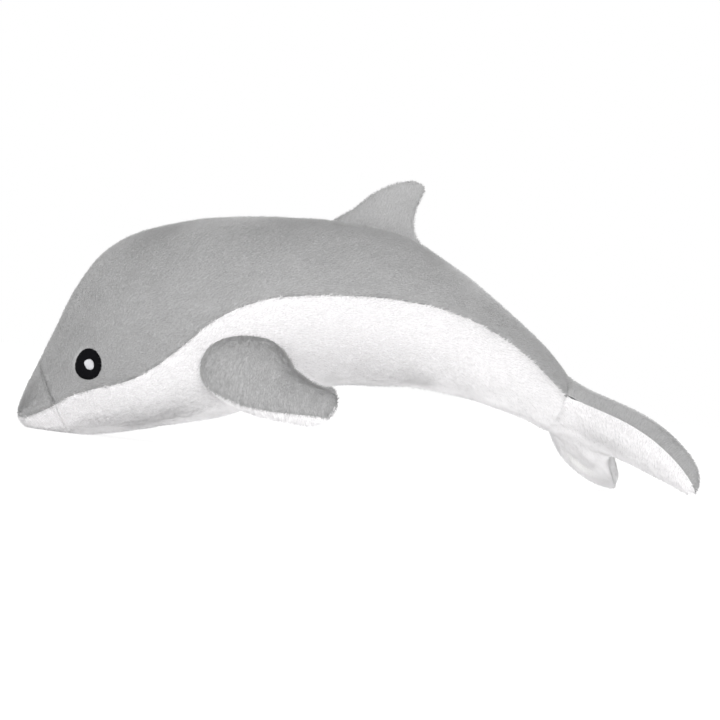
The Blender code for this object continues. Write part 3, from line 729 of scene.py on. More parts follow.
class Nodes:
    """Adds nodes to a tree and joins them, with unlinked inputs set by value."""

    def __init__(self, tree):
        self.tree = tree

    def add(self, kind, inputs=None, **options):
        node = self.tree.nodes.new(kind)
        for key, value in options.items():
            setattr(node, key, value)
        for key, value in (inputs or {}).items():
            socket = node.inputs[key]
            if isinstance(value, bpy.types.NodeSocket):
                self.tree.links.new(value, socket)
            else:
                socket.default_value = value
        return node

    def math(self, operation, *values):
        return self.add('ShaderNodeMath', dict(enumerate(values)), operation=operation).outputs[0]

    def vector(self, operation, *values, scale=None):
        inputs = dict(enumerate(values))
        node = self.add('ShaderNodeVectorMath', inputs, operation=operation)
        if scale is not None:
            if isinstance(scale, bpy.types.NodeSocket):
                self.tree.links.new(scale, node.inputs['Scale'])
            else:
                node.inputs['Scale'].default_value = scale
        return node.outputs[0]

    def named(self, name, kind):
        node = self.add('GeometryNodeInputNamedAttribute', {'Name': name}, data_type=kind)
        return node.outputs[0]

    def attribute(self, name):
        return self.add('ShaderNodeAttribute', attribute_name=name).outputs['Fac']

    def store(self, geometry, name, value, kind, domain):
        return self.add('GeometryNodeStoreNamedAttribute',
                        {'Geometry': geometry, 'Name': name, 'Value': value},
                        data_type=kind, domain=domain).outputs[0]


def new_tree(name, sockets):
    """A Geometry Nodes tree with named inputs; returns it, its helper and its two end nodes."""
    tree = bpy.data.node_groups.new(name, 'GeometryNodeTree')
    tree.is_modifier = True
    tree.interface.new_socket('Geometry', in_out='INPUT', socket_type='NodeSocketGeometry')
    for label, kind in sockets:
        tree.interface.new_socket(label, in_out='INPUT', socket_type='NodeSocket' + kind)
    tree.interface.new_socket('Geometry', in_out='OUTPUT', socket_type='NodeSocketGeometry')
    nodes = Nodes(tree)
    start = nodes.add('NodeGroupInput')
    end = nodes.add('NodeGroupOutput')
    return tree, nodes, start, end


def pile_tree():
    """Grows leaning fibre tufts from a panel."""
    tree, nodes, start, end = new_tree('Plush pile', (
        ('Fibres per square metre', 'Float'), ('Length', 'Float'), ('Half width', 'Float'),
        ('Lean', 'Float'), ('Disorder', 'Float'), ('Clumping', 'Float'), ('Seed', 'Int'),
        ('Material', 'Material')))
    given = start.outputs
    pile = nodes.named('pile', 'FLOAT')
    thick = nodes.math('MULTIPLY', given['Fibres per square metre'],
                       nodes.math('GREATER_THAN', pile, 0.05))
    spread = nodes.add('GeometryNodeDistributePointsOnFaces',
                       {'Mesh': given['Geometry'], 'Density': thick, 'Seed': given['Seed']},
                       distribute_method='RANDOM')
    seed = given['Seed']
    # Neighbouring tufts cling together in clumps that are longer along the nap
    lay = nodes.vector('MULTIPLY', nodes.named('lay', 'FLOAT_VECTOR'), (620.0, 230.0, 1.0))
    clump = nodes.add('ShaderNodeTexNoise', {
        'Vector': lay, 'Scale': 1.0, 'Detail': 1.0, 'Roughness': 0.5}).outputs
    cling = nodes.math('MULTIPLY', nodes.math('SUBTRACT', clump['Fac'], 0.5), given['Clumping'])
    chance = nodes.add('FunctionNodeRandomValue', {2: -0.5, 3: 0.5, 'Seed': seed},
                       data_type='FLOAT').outputs[1]
    # The clump noise also paints whole clumps lighter or darker: painted shade of the gaps between
    # tufts, on top of the real parting
    tint = nodes.math('ADD', 0.5, nodes.math('ADD', nodes.math('MULTIPLY', chance, 0.7),
                                             nodes.math('MULTIPLY', cling, 3.0)))
    points = nodes.store(spread.outputs['Points'], 'tint', tint, 'FLOAT', 'POINT')
    points = nodes.store(points, 'root_uv', nodes.named('ground_uv', 'FLOAT_VECTOR'),
                         'FLOAT_VECTOR', 'POINT')

    stray = nodes.add('FunctionNodeRandomValue',
                      {0: (-1.0, -1.0, -1.0), 1: (1.0, 1.0, 1.0),
                       'Seed': nodes.math('ADD', seed, 1)},
                      data_type='FLOAT_VECTOR').outputs[0]
    upright = nodes.named('upright', 'FLOAT_VECTOR')
    leaning = nodes.vector('SCALE', nodes.named('nap', 'FLOAT_VECTOR'), scale=given['Lean'])
    straying = nodes.vector('SCALE', stray, scale=given['Disorder'])
    ruffle = nodes.math('ADD', nodes.named('ruffle', 'FLOAT'),
                        nodes.math('MULTIPLY', given['Clumping'], 0.3))
    parting = nodes.vector('SCALE', nodes.vector('SUBTRACT', clump['Color'], (0.5, 0.5, 0.5)),
                           scale=nodes.math('MULTIPLY', ruffle, 4.0))
    direction = nodes.vector('ADD', nodes.vector('ADD', upright, leaning),
                             nodes.vector('ADD', straying, parting))
    turn = nodes.add('FunctionNodeAlignRotationToVector', {'Vector': direction},
                     axis='Z').outputs[0]

    size = nodes.add('FunctionNodeRandomValue',
                     {2: 0.80, 3: 1.10, 'Seed': nodes.math('ADD', seed, 2)},
                     data_type='FLOAT').outputs[1]
    size = nodes.math('MULTIPLY', size, nodes.math('ADD', 1.0, cling))
    long = nodes.math('MULTIPLY', nodes.math('MULTIPLY', given['Length'], size), pile)
    scale = nodes.add('ShaderNodeCombineXYZ', {
        'X': given['Half width'], 'Y': given['Half width'], 'Z': long}).outputs[0]
    tuft = nodes.add('GeometryNodeMeshCone', {
        'Vertices': 3, 'Radius Top': 0.0, 'Radius Bottom': 1.0, 'Depth': 1.0}, fill_type='NONE')
    local = nodes.add('GeometryNodeInputPosition').outputs[0]
    tuft = nodes.store(tuft.outputs['Mesh'], 'local', local, 'FLOAT_VECTOR', 'POINT')
    placed = nodes.add('GeometryNodeInstanceOnPoints', {
        'Points': points, 'Instance': tuft, 'Rotation': turn, 'Scale': scale}).outputs[0]
    real = nodes.add('GeometryNodeRealizeInstances', {'Geometry': placed}).outputs[0]

    # Each tuft gets its own small place on the map, beside its root's place
    parts = nodes.add('ShaderNodeSeparateXYZ', {0: nodes.named('local', 'FLOAT_VECTOR')}).outputs
    across = nodes.math('ADD', parts[0], nodes.math('MULTIPLY', parts[1], 0.5))
    shift = nodes.add('ShaderNodeCombineXYZ', {
        'X': nodes.math('MULTIPLY', across, 0.0012), 'Y': nodes.math('MULTIPLY', parts[2], 0.004)})
    place = nodes.vector('ADD', nodes.named('root_uv', 'FLOAT_VECTOR'), shift.outputs[0])
    real = nodes.store(real, 'OFBake', place, 'FLOAT2', 'CORNER')
    done = nodes.add('GeometryNodeSetMaterial', {'Geometry': real, 'Material': given['Material']})
    tree.links.new(done.outputs[0], end.inputs[0])
    return tree


def run_tree(mesh, tree, values):
    """Runs a tree on a mesh and returns the result as a plain mesh."""
    carrier = bpy.data.objects.new(mesh.name, mesh)
    bpy.context.scene.collection.objects.link(carrier)
    modifier = carrier.modifiers.new(tree.name, 'NODES')
    modifier.node_group = tree
    for item in tree.interface.items_tree:
        if item.in_out == 'INPUT' and item.name in values:
            modifier[item.identifier] = values[item.name]
    graph = bpy.context.evaluated_depsgraph_get()
    made = bpy.data.meshes.new_from_object(carrier.evaluated_get(graph))
    carrier.modifiers.clear()
    bpy.data.objects.remove(carrier)
    return made


def grow_pile(sheet, material, seed, length=1.0, clumping=0.3):
    """The panel's pile as one piece."""
    plush = bpy.context.scene.dolphin_plush
    tree = bpy.data.node_groups.get('Plush pile') or pile_tree()
    mesh = run_tree(outer_mesh(sheet, seed), tree, {
        'Fibres per square metre': plush.fibres_per_mm2 * 1e6, 'Clumping': clumping,
        'Length': plush.pile_length * length, 'Half width': plush.fibre_width,
        'Lean': plush.pile_lean, 'Disorder': plush.pile_disorder, 'Seed': seed,
        'Material': material})
    count = len(mesh.vertices)
    points = np.zeros(count * 3, np.float32)
    mesh.vertices.foreach_get('co', points)
    points = points.reshape(-1, 3)
    points[:, 2] = np.maximum(points[:, 2], FLOOR_CLEARANCE)
    mesh.vertices.foreach_set('co', points.ravel())
    upright = np.zeros(count * 3, np.float32)
    mesh.attributes['upright'].data.foreach_get('vector', upright)
    for name in ('upright', 'nap', 'pile', 'local', 'root_uv', 'ground_uv', 'lay', 'ruffle'):
        if name in mesh.attributes:
            mesh.attributes.remove(mesh.attributes[name])
    mesh.shade_smooth()
    mesh.normals_split_custom_set_from_vertices(unit(upright.reshape(-1, 3)).tolist())
    mesh.name = sheet.name + '_pile'
    link(sheet.name + '_pile', mesh, material)


# ---------------------------------------------------------------- materials

def plush_material(name, colour, nap_sheen_patch, streak, fine, warm, blank=None):
    """Short pile: painted light and dark patches for the sheen of brushed nap, streaks along the
    nap, a fine grain and a soft sheen.
    """
    made = bpy.data.materials.new(name)
    made.use_nodes = True
    tree = made.node_tree
    nodes = Nodes(tree)
    shader = tree.nodes['Principled BSDF']
    spot = nodes.add('ShaderNodeTexCoord').outputs['Object']
    # Painted sheen: light and dark patches where brushed nap would catch the light differently; the
    # warm tint follows them too
    nap_sheen_patches = nodes.add('ShaderNodeTexNoise', {
        'Vector': spot, 'Scale': 26.0, 'Detail': 3.0, 'Roughness': 0.55, 'Distortion': 0.6})
    stretched = nodes.add('ShaderNodeMapping', {'Vector': spot, 'Scale': (90.0, 260.0, 260.0)})
    streaks = nodes.add('ShaderNodeTexNoise', {
        'Vector': stretched.outputs[0], 'Scale': 1.0, 'Detail': 2.0, 'Roughness': 0.6})
    grain = nodes.add('ShaderNodeTexNoise', {
        'Vector': spot, 'Scale': 1050.0, 'Detail': 1.0, 'Roughness': 0.5})
    tint = nodes.attribute('tint')
    # Painted shade: darker beside the snout seam and on the bare cloth
    shade = nodes.attribute('shade')

    def around(value, amount):
        return nodes.math('MULTIPLY', nodes.math('SUBTRACT', value, 0.5), amount)

    bright = nodes.math('ADD', 1.0, around(nap_sheen_patches.outputs['Fac'], nap_sheen_patch))
    bright = nodes.math('ADD', bright, around(streaks.outputs['Fac'], streak))
    bright = nodes.math('ADD', bright, around(grain.outputs['Fac'], fine))
    bright = nodes.math('ADD', bright, around(tint, fine * 0.5))
    bright = nodes.math('MULTIPLY', bright,
                        nodes.math('SUBTRACT', 1.0, nodes.math('MULTIPLY', shade, 0.5)))
    warmth = nodes.add('ShaderNodeMix', {
        'Factor': nap_sheen_patches.outputs['Fac'], 6: (*colour, 1.0),
        7: (colour[0] * warm[0], colour[1] * warm[1], colour[2] * warm[2], 1.0)},
        data_type='RGBA').outputs[2]
    if blank:
        warmth = nodes.add('ShaderNodeMix', {
            'Factor': nodes.attribute('pale'), 6: warmth, 7: (*blank, 1.0)},
            data_type='RGBA').outputs[2]
    tinted = nodes.vector('SCALE', warmth, scale=bright)
    tree.links.new(tinted, shader.inputs['Base Color'])
    rough = nodes.math('ADD', 0.86, around(grain.outputs['Fac'], 0.12))
    tree.links.new(rough, shader.inputs['Roughness'])
    shader.inputs['Specular IOR Level'].default_value = 0.15
    shader.inputs['Sheen Weight'].default_value = 0.45
    shader.inputs['Sheen Roughness'].default_value = 0.5
    bump = nodes.add('ShaderNodeBump', {
        'Height': grain.outputs['Fac'], 'Strength': 0.35, 'Distance': 0.0004})
    tree.links.new(bump.outputs[0], shader.inputs['Normal'])
    made.diffuse_color = (*colour, 1.0)
    return made


def thread_material(name, colour, roughness, sheen, gloss):
    """Rayon embroidery thread: fine twist lines and a silky shine."""
    made = bpy.data.materials.new(name)
    made.use_nodes = True
    tree = made.node_tree
    nodes = Nodes(tree)
    shader = tree.nodes['Principled BSDF']
    spot = nodes.add('ShaderNodeTexCoord').outputs['Object']
    twist = nodes.add('ShaderNodeTexNoise', {
        'Vector': spot, 'Scale': 2600.0, 'Detail': 2.0, 'Roughness': 0.6})
    tint = nodes.attribute('tint')
    wave = nodes.math('ADD', 0.80, nodes.math('MULTIPLY', twist.outputs['Fac'], 0.25))
    wave = nodes.math('ADD', wave, nodes.math('MULTIPLY', tint, 0.15))
    base = nodes.add('ShaderNodeRGB')
    base.outputs[0].default_value = (*colour, 1.0)
    tree.links.new(nodes.vector('SCALE', base.outputs[0], scale=wave), shader.inputs['Base Color'])
    rough = nodes.math('ADD', roughness - 0.05, nodes.math('MULTIPLY', twist.outputs['Fac'], 0.1))
    tree.links.new(rough, shader.inputs['Roughness'])
    shader.inputs['Specular IOR Level'].default_value = gloss
    shader.inputs['Sheen Weight'].default_value = sheen
    bump = nodes.add('ShaderNodeBump', {
        'Height': twist.outputs['Fac'], 'Strength': 0.5, 'Distance': 0.0001})
    tree.links.new(bump.outputs[0], shader.inputs['Normal'])
    made.diffuse_color = (*colour, 1.0)
    return made


def material(name):
    """The toy's finishes, each made once."""
    found = bpy.data.materials.get(name)
    if found:
        return found
    plush = bpy.context.scene.dolphin_plush
    eyes = bpy.context.scene.dolphin_eyes
    if name == 'grey pile':
        return plush_material(name, tuple(plush.grey), 0.15, 0.12, 0.34, (1.0, 0.995, 0.99),
                              tuple(plush.white))
    if name == 'white pile':
        return plush_material(name, tuple(plush.white), 0.05, 0.04, 0.12, (0.995, 0.985, 0.99))
    if name == 'polyester filling':
        return plush_material(name, (0.88, 0.88, 0.86), 0.10, 0.12, 0.10, (1.0, 1.0, 1.0))
    if name == 'black embroidery':
        return thread_material(name, tuple(eyes.black), 0.62, 0.0, 0.03)
    return thread_material('silver embroidery', tuple(eyes.silver), 0.38, 0.1, 0.35)


# ---------------------------------------------------------------- the toy's shape

def signed_distance(tree, points, reach):
    """Distance to a closed surface, negative inside it; reach where it is further away."""
    found = np.full(len(points), reach)
    for number, spot in enumerate(points):
        place, normal, _, away = tree.find_nearest(Vector(spot), reach)
        if place is not None:
            across = (Vector(spot) - place).dot(normal)
            found[number] = -away if across < -0.9 * away else away
    return found


def closed_tree(rings):
    """Search tree of a closed tube through its rings."""
    degrees = np.tile(np.linspace(0, 360, 49)[None], (len(rings.centre), 1))
    points = rings.points(degrees) + ORIGIN
    quads = grid_quads(*points.shape[:2])
    mesh = bpy.data.meshes.new('search')
    mesh.from_pydata(points.reshape(-1, 3), [], quads.tolist())
    work = bmesh.new()
    work.from_mesh(mesh)
    bmesh.ops.remove_doubles(work, verts=work.verts, dist=1e-6)
    bmesh.ops.holes_fill(work, edges=[e for e in work.edges if e.is_boundary])
    bmesh.ops.recalc_face_normals(work, faces=work.faces)
    tree = BVHTree.FromBMesh(work)
    work.free()
    bpy.data.meshes.remove(mesh)
    return tree


def weld(points):
    """For each point the number of the place that it shares with the points it is sewn to."""
    tree = KDTree(len(points))
    for number, spot in enumerate(points):
        tree.insert(spot, number)
    tree.balance()
    first = [min(found[1] for found in tree.find_range(spot, 2e-5)) for spot in points]
    kept, place = np.unique(first, return_inverse=True)
    return kept, place


def fill_cover(sheets, limit, pinned_rows):
    """Runs a cloth simulation with pressure on a sewn cover that is held at its seams.

    With the settings in CLOTH it moves the cloth by 0.01 mm on average and by 0.28 mm at most, so
    the fullness that shows comes from the sections, not from here.
    """
    step = FILLING_STEP
    coarse = [sheet.points[::step, ::step] for sheet in sheets]
    held = []
    for grid in coarse:
        pins = np.zeros(grid.shape[:2], bool)
        pins[:, 0] = pins[:, -1] = pins[0] = pins[-1] = True
        pins[:pinned_rows] = True
        held.append(pins.ravel())
    flat = np.concatenate([grid.reshape(-1, 3) for grid in coarse])
    kept, place = weld(flat)
    faces = []
    offset = 0
    for sheet, grid in zip(sheets, coarse):
        faces.append(grid_quads(grid.shape[0], grid.shape[1], offset, sheet.turned))
        offset += grid.shape[0] * grid.shape[1]
    faces = [[int(number) for number in dict.fromkeys(place[quad].tolist())]
             for quad in np.concatenate(faces)]
    mesh = bpy.data.meshes.new('cover')
    mesh.from_pydata(flat[kept], [], [face for face in faces if len(face) > 2])
    work = bmesh.new()
    work.from_mesh(mesh)
    bmesh.ops.holes_fill(work, edges=[edge for edge in work.edges if edge.is_boundary])
    bmesh.ops.recalc_face_normals(work, faces=work.faces)
    work.to_mesh(mesh)
    work.free()
    cover = bpy.data.objects.new('cover', mesh)
    bpy.context.scene.collection.objects.link(cover)
    seams = cover.vertex_groups.new(name='seams')
    seams.add(np.unique(place[np.concatenate(held)]).tolist(), 1.0, 'REPLACE')
    filling = cover.modifiers.new('Filling', 'CLOTH')
    cloth = filling.settings
    for key, value in CLOTH.items():
        setattr(cloth, key, value)
    cloth.effector_weights.gravity = 0.0
    filling.point_cache.frame_start = 1
    filling.point_cache.frame_end = FILLING_FRAMES
    scene = bpy.context.scene
    for frame_number in range(1, FILLING_FRAMES + 1):
        scene.frame_set(frame_number)
    swollen = np.zeros(len(kept) * 3)
    result = cover.evaluated_get(bpy.context.evaluated_depsgraph_get()).data
    result.vertices.foreach_get('co', swollen)
    moved = (swollen.reshape(-1, 3) - flat[kept])[place]
    moved = moved * (limit / np.sqrt((moved ** 2).sum(-1, keepdims=True) + limit ** 2))
    scene.frame_set(1)
    cover.modifiers.clear()
    bpy.data.objects.remove(cover)
    offset = 0
    for sheet, grid in zip(sheets, coarse):
        size = grid.shape[0] * grid.shape[1]
        part = moved[offset:offset + size].reshape(grid.shape)
        offset += size
        part = smooth_at(part, np.arange(sheet.rows) / step)
        part = smooth_at(part.transpose(1, 0, 2), np.arange(sheet.columns) / step)
        sheet.points = sheet.points + part.transpose(1, 0, 2)
        sheet.settle()


def border_spots(sheet):
    """Rows and columns of the points round a grid."""
    row, column = np.divmod(np.arange(sheet.rows * sheet.columns), sheet.columns)
    edge = (row == 0) | (row == sheet.rows - 1) | (column == 0) | (column == sheet.columns - 1)
    return row[edge], column[edge]


def borders_that_meet(sheets):
    """For each border point of the sheets, the number of the place where it is sewn."""
    return weld(np.concatenate([sheet.points[border_spots(sheet)] for sheet in sheets]))[1]


def join_borders(sheets, place):
    """Brings the borders that are sewn together back to one line."""
    spots = np.concatenate([sheet.points[border_spots(sheet)] for sheet in sheets])
    total = np.zeros((place.max() + 1, 3))
    np.add.at(total, place, spots)
    spots = (total / np.bincount(place)[:, None])[place]
    offset = 0
    for sheet in sheets:
        row, column = border_spots(sheet)
        sheet.points[row, column] = spots[offset:offset + len(row)]
        offset += len(row)


def pull_in(sheet, amount):
    sheet.points = sheet.points - sheet.normal * amount[..., None]


def rest_on_floor(sheet, height):
    sheet.points[..., 2] = np.maximum(sheet.points[..., 2], height)


# Soft folds, in millimetres: points along each as distance from the nose and height, then reach,
# depth and side (1 for the left side of the toy, -1 for the right)
FOLDS = (
    (((70, 12), (76, 22), (80, 33)), 4.0, 0.25, 1),
    (((52, 8), (57, 17), (66, 24)), 4.5, 0.15, 1),
    (((92, 12), (97, 22), (98, 34)), 5.0, 0.6, 1),
    (((60, 7), (68, 18), (72, 28)), 4.5, 0.5, -1),
    (((86, 12), (92, 24), (99, 34)), 4.5, 0.6, -1),
    (((33, 10), (38, 17), (46, 20)), 3.0, 0.12, 1),
)


def fold_depth(points):
    """How deep the soft folds of the belly cloth are at every point of a grid."""
    depth = np.zeros(points.shape[:2])
    local = points - ORIGIN
    for line, reach, deep, side in FOLDS:
        nearest = np.full(points.shape[:2], 1.0)
        spots = np.array(line) / 1000
        for first, last in zip(spots[:-1], spots[1:]):
            ahead = last - first
            offset = local[..., (0, 2)] - first
            share = np.clip((offset * ahead).sum(-1) / ahead.dot(ahead), 0, 1)
            away = np.linalg.norm(offset - share[..., None] * ahead, axis=-1)
            nearest = np.minimum(nearest, away)
        fold = deep / 1000 * np.exp(-(nearest / (reach / 1000)) ** 2)
        depth += fold * smoothstep(-FOLD_FADE, FOLD_FADE, -side * local[..., 1])
    return depth


class Toy:
    """Every panel's grid, with its seams, soft folds and nap."""

    def __init__(self):
        plush = bpy.context.scene.dolphin_plush
        self.depth = plush.cloth_depth
        self.seam_depth = plush.seam_depth
        self.seam_width = plush.seam_width
        self.sheets = {}
        self.body_tree = closed_tree(body_rings(even_stations(0.02, LAST_STATION, 160)))
        self.pocket_trees = {
            'dorsal_fin': closed_tree(fin_rings(40)),
            'flipper_left': closed_tree(flipper_rings(1, 50)),
            'flipper_right': closed_tree(flipper_rings(-1, 50))}
        self.make_body()
        self.make_fin()
        self.make_flippers()
        self.make_flukes()
        for sheet in self.sheets.values():
            sheet.settle()

    def groove(self, distance, depth=1.0, width=1.0):
        return self.seam_depth * depth * np.exp(-(distance / (self.seam_width * width)) ** 2)

    def dress(self, sheet, borders, lump, seed=1):
        """Draws the panel in at its seams, paints shade beside some of them where the groove would
        be shadowed, gives it soft lumps and lets its nap wander.
        """
        pull = np.zeros(sheet.points.shape[:2])
        for distance, (depth, width, shade) in zip(sheet.border_distance(), borders):
            if depth:
                pull = np.maximum(pull, self.groove(distance, depth, width))
                ruffle = 0.9 * np.exp(-(distance / RUFFLE_REACH) ** 2)
                sheet.ruffle = np.maximum(sheet.ruffle, ruffle)
            # Painted shade beside the seam, standing in for the shadow in its groove
            if shade:
                dark = shade * np.exp(-(distance / PAINTED_SHADE_REACH) ** 2)
                sheet.shade = np.maximum(sheet.shade, dark)
        puff = wander(sheet.points, 34.0, seed) + 0.35 * wander(sheet.points, 85.0, seed + 3)
        pull_in(sheet, pull - puff * lump)
        turn = math.pi * NAP_SWIRL * (wander(sheet.points, 22.0, 11)
                                  + 0.5 * wander(sheet.points, 60.0, 12))[..., None]
        side = np.cross(sheet.normal, sheet.nap)
        sheet.nap = sheet.nap * np.cos(turn) + side * np.sin(turn)

    def meet(self, sheet, tree):
        """Draws a panel in where it is sewn to another form, and bares the cloth inside that."""
        flat = sheet.points.reshape(-1, 3)
        away = signed_distance(tree, flat, MEET_REACH).reshape(sheet.points.shape[:2])
        pull_in(sheet, self.groove(np.abs(away), MEET_DEPTH, MEET_WIDTH))
        sheet.pile *= smoothstep(-BARE_DEPTH, -PILE_DEPTH, away)
        return away

    def make_body(self):
        rows = even_stations(SNOUT_STATION, LAST_STATION, BODY_ROWS)
        rings = body_rings(rows)
        seam = seam_degrees(rows)
        top = np.full_like(seam, 90.0)
        snout = SNOUT_STATION * np.linspace(0.0, 1.0, SNOUT_ROWS) ** 1.35
        nose = body_rings(snout)
        nose.centre[:, 0] += self.depth * np.clip(1 - snout / 1.2, 0, 1)
        nose_seam = seam_degrees(snout)
        side, ridge, root = SIDE_SEAM, RIDGE_SEAM, TAIL_SEAM
        made = []
        for name, tube, angles, borders, lump in (
                ('back_left', rings, fan(seam, top, BACK_COLUMNS),
                 (side, ridge, COLLAR_SEAM, root), 0.0005),
                ('back_right', rings, fan(top, 180 - seam, BACK_COLUMNS),
                 (ridge, side, COLLAR_SEAM, root), 0.0005),
                ('belly', rings, fan(-180 - seam, seam, BELLY_COLUMNS),
                 (side, side, PALE_COLLAR_SEAM, root), 0.0006),
                ('snout_top', nose, fan(nose_seam, 180 - nose_seam, 2 * BACK_COLUMNS - 1),
                 (side, side, NO_SEAM, COLLAR_SEAM), 0.0003),
                ('snout_under', nose, fan(-180 - nose_seam, nose_seam, BELLY_COLUMNS),
                 (side, side, NO_SEAM, PALE_COLLAR_SEAM), 0.0003)):
            sheet = ring_sheet(name, tube, angles, self.depth)
            if name.startswith('snout'):
                borders = [(deep, wide * 0.6, dark) for deep, wide, dark in borders]
                sheet.normal[0] = unit(sheet.normal[1] + (-1.0, 0.0, 0.0))
                sheet.outward[0] = sheet.normal[0]
            made.append((sheet, borders, lump))
        panels = [sheet for sheet, _, _ in made]
        fill_cover(panels, BODY_SWELL, BODY_PINNED)
        joined = borders_that_meet(panels)
        for sheet, borders, lump in made:
            self.dress(sheet, borders, lump=lump)
            if sheet.name in ('belly', 'snout_under'):
                pull_in(sheet, fold_depth(sheet.points))
            for tree in self.pocket_trees.values():
                self.meet(sheet, tree)
            rest_on_floor(sheet, CLOTH_CLEARANCE)
            self.bare_eyes(sheet)
            self.sheets[sheet.name] = sheet
        join_borders(panels, joined)

    def bare_eyes(self, sheet):
        """Takes the pile away under the embroidery."""
        local = sheet.points - ORIGIN
        along = (local[..., 0] - EYE_POSITION + 0.0018) / (EYE_SIZE[0] / 2 + 0.0008)
        up = (local[..., 2] - EYE_HEIGHT + 0.0006) / (EYE_SIZE[1] / 2)
        sheet.pile *= smoothstep(0.90, 1.03, np.hypot(along, up))

    def finish_pocket(self, sheet, seed):
        """Dresses a fin or flipper panel and cuts off the rows that lie deep in the body."""
        self.dress(sheet, (POCKET_SEAM, POCKET_SEAM, NO_SEAM, NO_SEAM), lump=0.0003, seed=seed)
        away = self.meet(sheet, self.body_tree)
        buried = (away < -BURIED_DEPTH).all(axis=1)
        first = max(int(np.argmin(buried)) - 1, 0)
        sheet.cut(rows=slice(first, None))
        self.sheets[sheet.name] = sheet

    def make_fin(self):
        rings = fin_rings(POCKET_ROWS)
        count = len(rings.centre)
        made = []
        for name, first in (('dorsal_fin_left', 0), ('dorsal_fin_right', -180)):
            arcs = np.tile(np.linspace(first, first + 180, POCKET_COLUMNS)[None], (count, 1))
            made.append(ring_sheet(name, rings, arcs, self.depth))
        fill_cover(made, FIN_SWELL, FIN_PINNED)
        for sheet in made:
            self.finish_pocket(sheet, 21)

    def make_flippers(self):
        for side, sign in (('left', 1), ('right', -1)):
            rings = flipper_rings(sign, FLIPPER_ROWS)
            late = np.clip(2 * np.linspace(0, 1, FLIPPER_ROWS) - 0.35, 0, 1)
            seam = 180 - FLIPPER_SEAM_ROLL * late
            rear = -FLIPPER_REAR_ROLL * late
            made = [ring_sheet(f'flipper_{side}_top', rings, fan(rear, seam, POCKET_COLUMNS),
                               self.depth, FLIPPER_COMB),
                    ring_sheet(f'flipper_{side}_under', rings,
                               fan(seam - 360, rear, FLIPPER_UNDER_COLUMNS), self.depth,
                               FLIPPER_COMB)]
            fill_cover(made, FLIPPER_SWELL, FLIPPER_PINNED)
            for sheet in made:
                self.finish_pocket(sheet, 31 if sign > 0 else 37)

    def make_flukes(self):
        fluke = Fluke()
        self.fluke = fluke
        lobe = FLUKE_ROOT_SHARE + (FLUKE_TIP_SHARE - FLUKE_ROOT_SHARE) * np.sin(
            np.linspace(0, math.pi / 2, FLUKE_LOBE_COLUMNS))
        root = FLUKE_ROOT_SHARE * np.sin(np.linspace(-math.pi / 2, math.pi / 2, FLUKE_ROOT_COLUMNS))
        u = np.concatenate((-lobe[::-1], root[1:-1], lobe))[None]
        v = (0.5 - 0.5 * np.cos(np.linspace(0, math.pi, FLUKE_SHEET_ROWS)))[:, None]
        t = np.abs(u) + 0 * v
        back, out = fluke.outline(t, np.ones_like(t))
        front_back, front_out = fluke.outline(t, np.zeros_like(t))
        chord = np.hypot(back - front_back, out - front_out)
        margin = np.minimum(self.depth * 0.8 / np.maximum(chord, 1e-4), 0.3)
        front_margin = margin * smoothstep(FLUKE_ROOT_SHARE, FLUKE_ROOT_SHARE + 0.08, t)
        inner_v = front_margin + (1 - front_margin - margin) * v
        made = []
        for name, face in (('fluke_top', 1), ('fluke_under', -1)):
            slack = 1.0 if face > 0 else 1 - 0.5 * smoothstep(-0.25, -0.5, u)
            full = fluke.height(t, inner_v, face, slack)
            height = np.maximum(full - self.depth, 0.5 * full)
            edge = smoothstep(0, 0.10, v) * smoothstep(0, 0.06, 1 - v)
            open_root = 1 - smoothstep(FLUKE_ROOT_SHARE - 0.02, FLUKE_ROOT_SHARE + 0.06, t)
            lid = np.maximum(edge, open_root * (1 - smoothstep(0.90, 1.0, v)))
            tip = smoothstep(0.0, 0.06, FLUKE_TIP_SHARE - t)
            height = height * np.sqrt(np.clip(lid * tip, 0, 1))
            points = fluke.point(u + 0 * v, inner_v, face, height)
            tuck = ROOT_TUCK * (1 - smoothstep(0.24, 0.40, t)) * (1 - smoothstep(0.0, 0.25, v))
            points = points - fluke.frame(np.zeros(1))[0] * tuck[..., None]
            _, _, normal = fluke.frame(fluke.outline(t, inner_v)[0])
            made.append(Sheet(name, points + ORIGIN, normal * face, np.gradient(points, axis=0)))
            made[-1].relax(14)
        fill_cover(made, FLUKE_SWELL, FLUKE_PINNED)
        joined = borders_that_meet(made)
        for sheet in made:
            self.dress(sheet, (FLUKE_SEAM,) * 4, lump=0.0001, seed=41)
            rest_on_floor(sheet, FLUKE_CLOTH_CLEARANCE)
            self.sheets[sheet.name] = sheet
        join_borders(made, joined)
        top = self.sheets['fluke_top']
        top.pale = smoothstep(0.72, 0.80, v + 0 * u) * smoothstep(-0.1, -0.25, u + 0 * v)


_toy = []


def toy():
    """The toy's grids, worked out once."""
    if not _toy:
        _toy.append(Toy())
    return _toy[0]


def sew(name, shade, seed, length=1.0, halves=1, clumping=0.3):
    """Makes one panel's cloth and its pile, in place of the solid of the same name."""
    finish, slot = shade + ' pile', shade + '_plush'
    sheet = toy().sheets[name]
    plush = bpy.context.scene.dolphin_plush
    link(name + '_cloth', shell_mesh(sheet, plush.cloth_thickness), material(finish),
         (name,))
    if halves == 1:
        grow_pile(sheet, material(finish), seed, length, clumping)
        return
    bounds = np.linspace(0, sheet.columns - 1, halves + 1).astype(int)
    for number in range(halves):
        part = copy.copy(sheet)
        part.name = f'{name}_{number + 1}'
        part.cut(columns=slice(bounds[number], bounds[number + 1] + 1))
        grow_pile(part, material(finish), seed + number, length, clumping)


